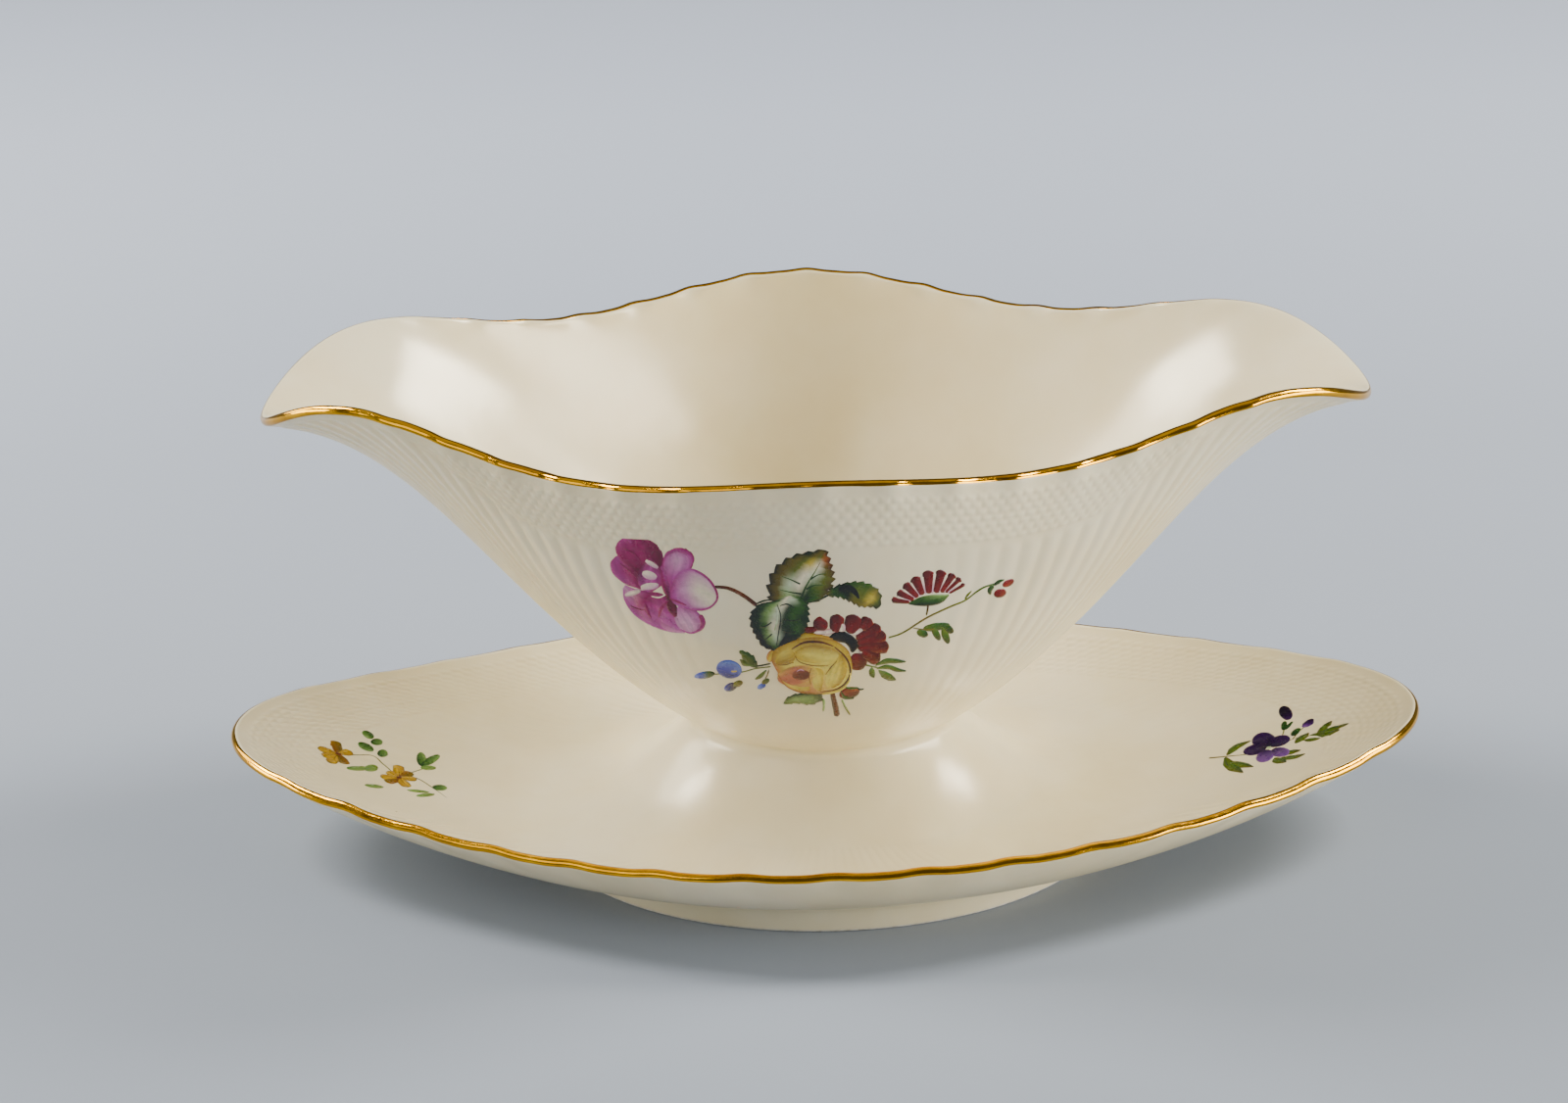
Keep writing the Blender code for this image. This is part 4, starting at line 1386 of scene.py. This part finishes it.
def paint_yellow_sprig(art):
    """The yellow flowers at the dish's left end."""
    green, light, dim = wash([PINE, LEAF], [LEAF, SAGE]), wash([LEAF, SAGE], [SAGE, MOSS]), wash(
        OLIVE, MOSS,
    )
    art.stroke(
        [(-101, 4.5), (-97.5, 6.4), (-94.2, 7.6), (-91.8, 4.8), (-88.6, 0.6)], (0.3, 0.3, 0.35, 0.3), dim,
        0,
    )
    art.stroke([(-88.4, 0.4), (-85, 1.6), (-81, -2.4), (-78.2, -6)], (0.4, 0.35, 0.3, 0.1), dim, 0)
    art.stroke([(-88, 1), (-85.6, 4.4), (-83.8, 6.6)], (0.3, 0.3), dim, 0)
    for centre, size, turn in (
        ((-95.9, 15.4), (2.9, 1.7), -60), ((-94.0, 13.6), (3.0, 1.5), 55), ((-96.0, 10.6), (3.6, 1.9), -35),
        ((-92.5, 9.6), (3.4, 1.5), 80), ((-84.5, 10.4), (6.2, 1.5), 95), ((-82.7, 10.6), (7.0, 1.5), 62),
        ((-80.0, -1.4), (3.2, 2.0), 40),
    ):
        art.blob(centre, (size[0], 1.5 * size[1]), turn, green, 1)
    for centre, size, turn in (
        ((-96.6, 0.6), (5.8, 1.5), 34), ((-94.3, 2.0), (4.0, 1.7), 65), ((-93.0, -6.3), (4.0, 1.4), 20),
        ((-82.9, 7.2), (3.4, 1.5), 25), ((-84.2, -4.6), (4.6, 1.1), 8), ((-82.6, -6.0), (4.4, 1.2), 35),
    ):
        art.blob(centre, (size[0], 1.5 * size[1]), turn, light, 1)
    gold = wash([OCHRE, GOLDEN, OCHRE], [GOLDEN, OCHRE], edge=OLIVE, rim=0.3)
    brown = wash([BROWN, OLIVE], [OCHRE, OLIVE])
    for centre, tips in (
        (
            (-101.2, 4.6),
            ((-105.4, 4.4), (-102.2, 9.6), (-98.6, 7.2), (-102.4, -0.6), (-99.3, 0.8), (-104.0, 1.4)),
        ),
        (
            (-88.4, 0.3),
            (
                (-89.0, 6.2), (-86.2, 4.0), (-84.8, 1.2), (-86.4, -3.6), (-90.8, -3.2), (-92.2, -1.0),
                (-91.0, 2.4),
            ),
        ),
    ):
        for i, tip in enumerate(tips):
            art.stroke([centre, tip], (0.8, 2.1, 1.9), brown if i % 3 == 1 else gold, 2)
            vein_end = ((centre[0] + 2 * tip[0]) / 3, (centre[1] + 2 * tip[1]) / 3)
            art.stroke([centre, vein_end], (0.5, 0.2), wash(BROWN, OLIVE), 3)
        art.blob(centre, (1.3, 1.5), 0, wash(BARK, BROWN), 4)


def paint_purple_sprig(art):
    """The pansy at the dish's right end."""
    stem = wash(OLIVE, MOSS)
    art.stroke([(79.8, 3.8), (83.4, 3.0), (88, 1.8), (91.5, 2.2)], (0.7, 0.4, 0.4), stem, 0)
    art.stroke([(92.4, 2.6), (95.0, 5.0), (96.4, 9.2)], (0.3, 0.3), stem, 0)
    art.stroke([(94, 2.4), (97.8, 3.2), (101, 2.2), (105, 1.9)], (0.3, 0.3), stem, 0)
    art.stroke([(97.2, 3.2), (98.6, 5.2), (100.2, 6.8)], (0.3, 0.3), stem, 0)
    for points, wide in (
        ([(83.6, 3.4), (86, 6.3), (89.2, 7.6)], 1.2), ([(83.2, 2.8), (83.9, -2.2), (85.8, -6.6)], 1.5),
        ([(83.9, 0.6), (85.6, -2.0), (88.2, -4.8)], 1.3), ([(93.2, -2.4), (95.6, -2.4), (98.2, -3.0)], 1.2),
        ([(92.8, -2.8), (93.2, -4.6), (94.6, -6.8)], 1.4),
        ([(93.8, -3.6), (96.2, -5.2), (98.8, -5.4)], 1.2), ([(97.4, 0.9), (98.8, 2.2), (100.7, 3.9)], 1.3),
        ([(99.2, 1.2), (101, 0.2), (102.6, -0.4)], 0.9), ([(100.6, 2.4), (103.6, 1.7), (108.6, 1.4)], 1.3),
        ([(102.2, 2.4), (103.8, 3.6), (105.6, 5.2)], 1.1), ([(102, 1.6), (104, 0.4), (106.6, 0.3)], 1.2),
    ):
        art.stroke(
            points, (0.4, 1.5 * wide, 1.5 * wide, 0.3), wash([OLIVE, LEAF], [LEAF, MOSS], [PINE, OLIVE]), 1,
        )
    for centre, size, turn, shades in (
        ((91.0, -1.0), (5.6, 3.9), -100, (INDIGO, LILAC)), ((94.1, -1.0), (5.2, 3.6), -65, (INDIGO, LILAC)),
        ((89.4, 3.1), (4.8, 5.0), 190, (INDIGO, VIOLET)), ((94.4, 4.0), (4.8, 5.0), 25, (INDIGO, VIOLET)),
        ((91.6, 6.2), (6.8, 4.8), 98, (INDIGO, VIOLET)),
    ):
        art.blob(centre, size, turn, wash(*shades, edge=shades[1], rim=0.3), 2)
    art.stroke([(92, 2.6), (90.4, 3.2)], (0.9, 0.5), wash(INDIGO), 3)
    art.blob((92.2, 2.4), (1.1, 1.3), 0, wash(MINT, SAGE), 4)
    art.blob((97.2, 14.2), (5.6, 2.6), 100, wash(VIOLET, INDIGO, INDIGO), 2)
    art.stroke([(99.9, 6.4), (101.0, 7.6), (101.9, 9.0)], (1.0, 2.2, 1.0), wash(LILAC, VIOLET, INDIGO), 2)
    art.blobs(
        (((96.3, 9.8), (3.6, 1.4), 80), ((97.2, 9.2), (3.0, 1.1), 50), ((98.2, 5.8), (3.0, 2.0), 60)),
        wash(PINE, LEAF), 1,
    )


def enamel_material():
    """Overglaze enamel in the painted colours, laid on a little unevenly."""
    made, tree, shader = new_material("painted enamel")
    coords = object_coords(tree)
    paint = add_node(tree, "ShaderNodeAttribute", attribute_name="enamel").outputs["Color"]
    darker, plain = (0.82, 0.82, 0.82), (1.0, 1.0, 1.0)
    grain = ramp(tree, noise(tree, coords, 1400.0, 3.0), (0.25, darker), (0.7, plain))
    tree.links.new(blend(tree, 1.0, paint, grain, "MULTIPLY"), shader.inputs["Base Color"])
    rough = ranged(tree, noise(tree, coords, 500.0), 0.18, 0.34, 0.3, 0.7)
    tree.links.new(rough, shader.inputs["Roughness"])
    shader.inputs["IOR"].default_value = 1.5
    add_bump(tree, shader, coords, 1100.0, 0.1, 0.0001)
    return made


# In the order of painting, which also sets how high the strokes lie.
BOUQUET = (
    ("peony", paint_peony),
    ("spray", paint_spray),
    ("leaves", paint_leaves),
    ("aster", paint_aster),
    ("rose", paint_rose),
    ("blue_flowers", paint_blue_flowers),
    ("bouquet_foot", paint_foot_of_bouquet),
)
SPRIGS = (("yellow_sprig", paint_yellow_sprig), ("purple_sprig", paint_purple_sprig))


def paint_all(bowl, dish):
    """The bouquet on each side of the bowl and the two sprigs on the dish."""
    enamel = enamel_material()
    graph = bpy.context.evaluated_depsgraph_get()
    tree = BVHTree.FromObject(bowl, graph)
    for side, turned in (("front", False), ("back", True)):
        art = Painting(tree, sight_from(np.array(PAINTER_EYE), np.array(SHEET_MIDDLE), turned))
        for name, paint in BOUQUET:
            paint(art)
            place(art.finish(f"enamel_{name}_{side}"), enamel, None)
    tree = BVHTree.FromObject(dish, graph)
    for name, paint in SPRIGS:
        art = Painting(tree, sight_down)
        paint(art)
        place(art.finish(f"enamel_{name}"), enamel, None)


# ---------------------------------------------------------------- studio


PAPER_DARK, PAPER_PALE = (0.240, 0.276, 0.328), (0.257, 0.293, 0.346)
# painted light: the paler tone of the lit far part of the paper
PAPER_FAR_PAINTED_LIGHT = (0.385, 0.430, 0.515)
AIR_COLOUR, AIR_STRENGTH = (0.92, 0.95, 1.0, 1.0), 0.12

# Name, place and aim in metres, width and height in metres, watts, colour.
LIGHTS = (
    ("left softbox", (-0.74, 0.20, 0.76), (0, 0, 0.03), (0.28, 0.42), 11.5, (1.0, 0.96, 0.90)),
    ("right softbox", (0.78, 0.18, 0.74), (0, 0, 0.03), (0.28, 0.42), 13.5, (1.0, 0.96, 0.89)),
    ("left rim light", (-0.78, 0.40, 0.46), (0, 0, 0.05), (0.34, 0.5), 3.5, (1.0, 0.965, 0.92)),
    ("left side fill", (-1.2, 0.0, 0.25), (0, 0, 0.05), (0.6, 0.4), 9.0, (1.0, 0.97, 0.92)),
    ("front left fill", (-0.9, -0.9, 0.9), (0, 0, 0.04), (0.9, 0.9), 4.5, (1.0, 0.97, 0.92)),
    ("low right fill", (1.45, -0.40, 0.32), (0, 0, 0.05), (1.2, 0.7), 36.0, (1.0, 0.97, 0.92)),
    ("overhead softbox", (0.0, 0.1, 1.5), (0, 0, 0.0), (1.6, 1.2), 2.6, (1.0, 0.97, 0.94)),
    ("background softbox", (0.0, 0.40, 0.55), (0, 1.1, 0.33), (2.0, 0.3), 7.0, (0.97, 0.98, 1.0)),
)


def studio_material():
    """Blue-grey paper, with painted light that makes it paler towards the back."""
    made, tree, shader = new_material("studio paper")
    coords = object_coords(tree)
    tone = ramp(tree, noise(tree, coords, 1.2, 3.0), (0.3, PAPER_DARK), (0.7, PAPER_PALE))
    # painted light: the paper is blended paler towards the back, in place of the light falling on the far
    # backdrop
    paler = ranged(tree, part_of(tree, coords, "Y"), 0.0, 1.0, -0.15, 0.55)
    tone = blend(tree, paler, tone, PAPER_FAR_PAINTED_LIGHT)
    tree.links.new(tone, shader.inputs["Base Color"])
    rough = ranged(tree, noise(tree, coords, 30.0), 0.75, 0.9)
    tree.links.new(rough, shader.inputs["Roughness"])
    return made


def make_floor():
    """A seamless studio floor that curves up into a wall all round, far off."""
    flat, curve, stations = 1600, 1400, 96
    profile = [(r, 0.0) for r in (40, 200, 500, 1000, flat)]
    for t in np.linspace(0.15, 1.4, 14):
        profile.append((flat + curve * math.sin(t), curve - curve * math.cos(t)))
    angle = np.linspace(0, 2 * np.pi, stations, endpoint=False)
    rings = np.stack([oval(angle, r, r, z) for r, z in profile])
    points = np.concatenate([rings.reshape(-1, 3), [[0, 0, 0]]])
    here = np.arange(stations)
    fan = np.stack([here, (here + 1) % stations, np.full(stations, len(points) - 1)], -1)
    floor = mesh_object("studio_floor", points, [grid_faces(len(rings), stations)[:, ::-1], fan])
    floor.data.materials.append(studio_material())


def add_light(name, place_m, aim_m, size, power, colour):
    data = bpy.data.lights.new(name, "AREA")
    data.shape = "RECTANGLE"
    data.size, data.size_y = size
    data.energy = power
    data.color = colour
    lamp = bpy.data.objects.new(name, data)
    lamp.location = place_m
    lamp.rotation_mode = "QUATERNION"
    lamp.rotation_quaternion = (Vector(aim_m) - Vector(place_m)).to_track_quat("-Z", "Y")
    bpy.context.scene.collection.objects.link(lamp)


def make_lights():
    world = bpy.data.worlds.new("studio air")
    world.use_nodes = True
    set_inputs(world.node_tree.nodes["Background"], {"Color": AIR_COLOUR, "Strength": AIR_STRENGTH})
    bpy.context.scene.world = world
    for light in LIGHTS:
        add_light(*light)


CAMERA_TARGET = (0, 0, 0.055)
CAMERA_DISTANCE = 0.81544
CAMERA_ELEVATION, CAMERA_AZIMUTH, CAMERA_ROLL = 22.0, -0.986, -1.051  # degrees
CAMERA_TURN, CAMERA_TILT = 0.00943, 0.00692  # radians by which it looks past the target
SENSOR_WIDTH, FOCAL_LENGTH = 36.0, 92.05


def make_camera():
    """Stands in front and about 22 degrees above the table, with a long lens."""
    elevation, azimuth = math.radians(CAMERA_ELEVATION), math.radians(CAMERA_AZIMUTH)
    roll = math.radians(CAMERA_ROLL)
    level = math.cos(elevation)
    back = Vector((math.sin(azimuth) * level, -math.cos(azimuth) * level, math.sin(elevation)))
    right = Vector((math.cos(azimuth), math.sin(azimuth), 0))
    up = back.cross(right)
    forward = Matrix.Rotation(CAMERA_TURN, 3, up) @ -back
    side = Matrix.Rotation(CAMERA_TURN, 3, up) @ right
    forward = Matrix.Rotation(CAMERA_TILT, 3, side) @ forward
    over = Matrix.Rotation(CAMERA_TILT, 3, side) @ up
    x = side * math.cos(roll) + over * math.sin(roll)
    y = -side * math.sin(roll) + over * math.cos(roll)
    place_m = Vector(CAMERA_TARGET) + back * CAMERA_DISTANCE
    data = bpy.data.cameras.new("camera")
    data.sensor_width = SENSOR_WIDTH
    data.lens = FOCAL_LENGTH
    camera = bpy.data.objects.new("camera", data)
    rows = [[x[i], y[i], -forward[i], place_m[i]] for i in range(3)]
    camera.matrix_world = Matrix([*rows, [0, 0, 0, 1]])
    bpy.context.scene.collection.objects.link(camera)
    bpy.context.scene.camera = camera


def main():
    glaze = glaze_material("cream glaze")
    gold = gold_material()
    bowl, outer, bowl_rim = make_bowl()
    place(bowl, glaze, "cream_porcelain", "boat")
    dish, pedestal, upper, dish_rim = make_stand()
    place(dish, glaze, "cream_porcelain", "stand")
    place(pedestal, glaze, "cream_porcelain", "pedestal")
    wiped = glaze_material("cream glaze with a bare tread", True)
    place(make_foot(dish), wiped, "cream_porcelain", "foot_ring")
    band = make_gold("gold_edge_of_bowl", bowl_rim, outer.along[0], outer.length, 1.45, 0.9, 3)
    place(band, gold, "fired_gold", "boat_gold_band")
    band = make_gold("gold_edge_of_dish", dish_rim, upper.along[0], upper.length, 1.0, 1.35, 8)
    place(band, gold, "fired_gold", "stand_gold_band")
    paint_all(bowl, dish)
    make_floor()
    make_lights()
    make_camera()


main()
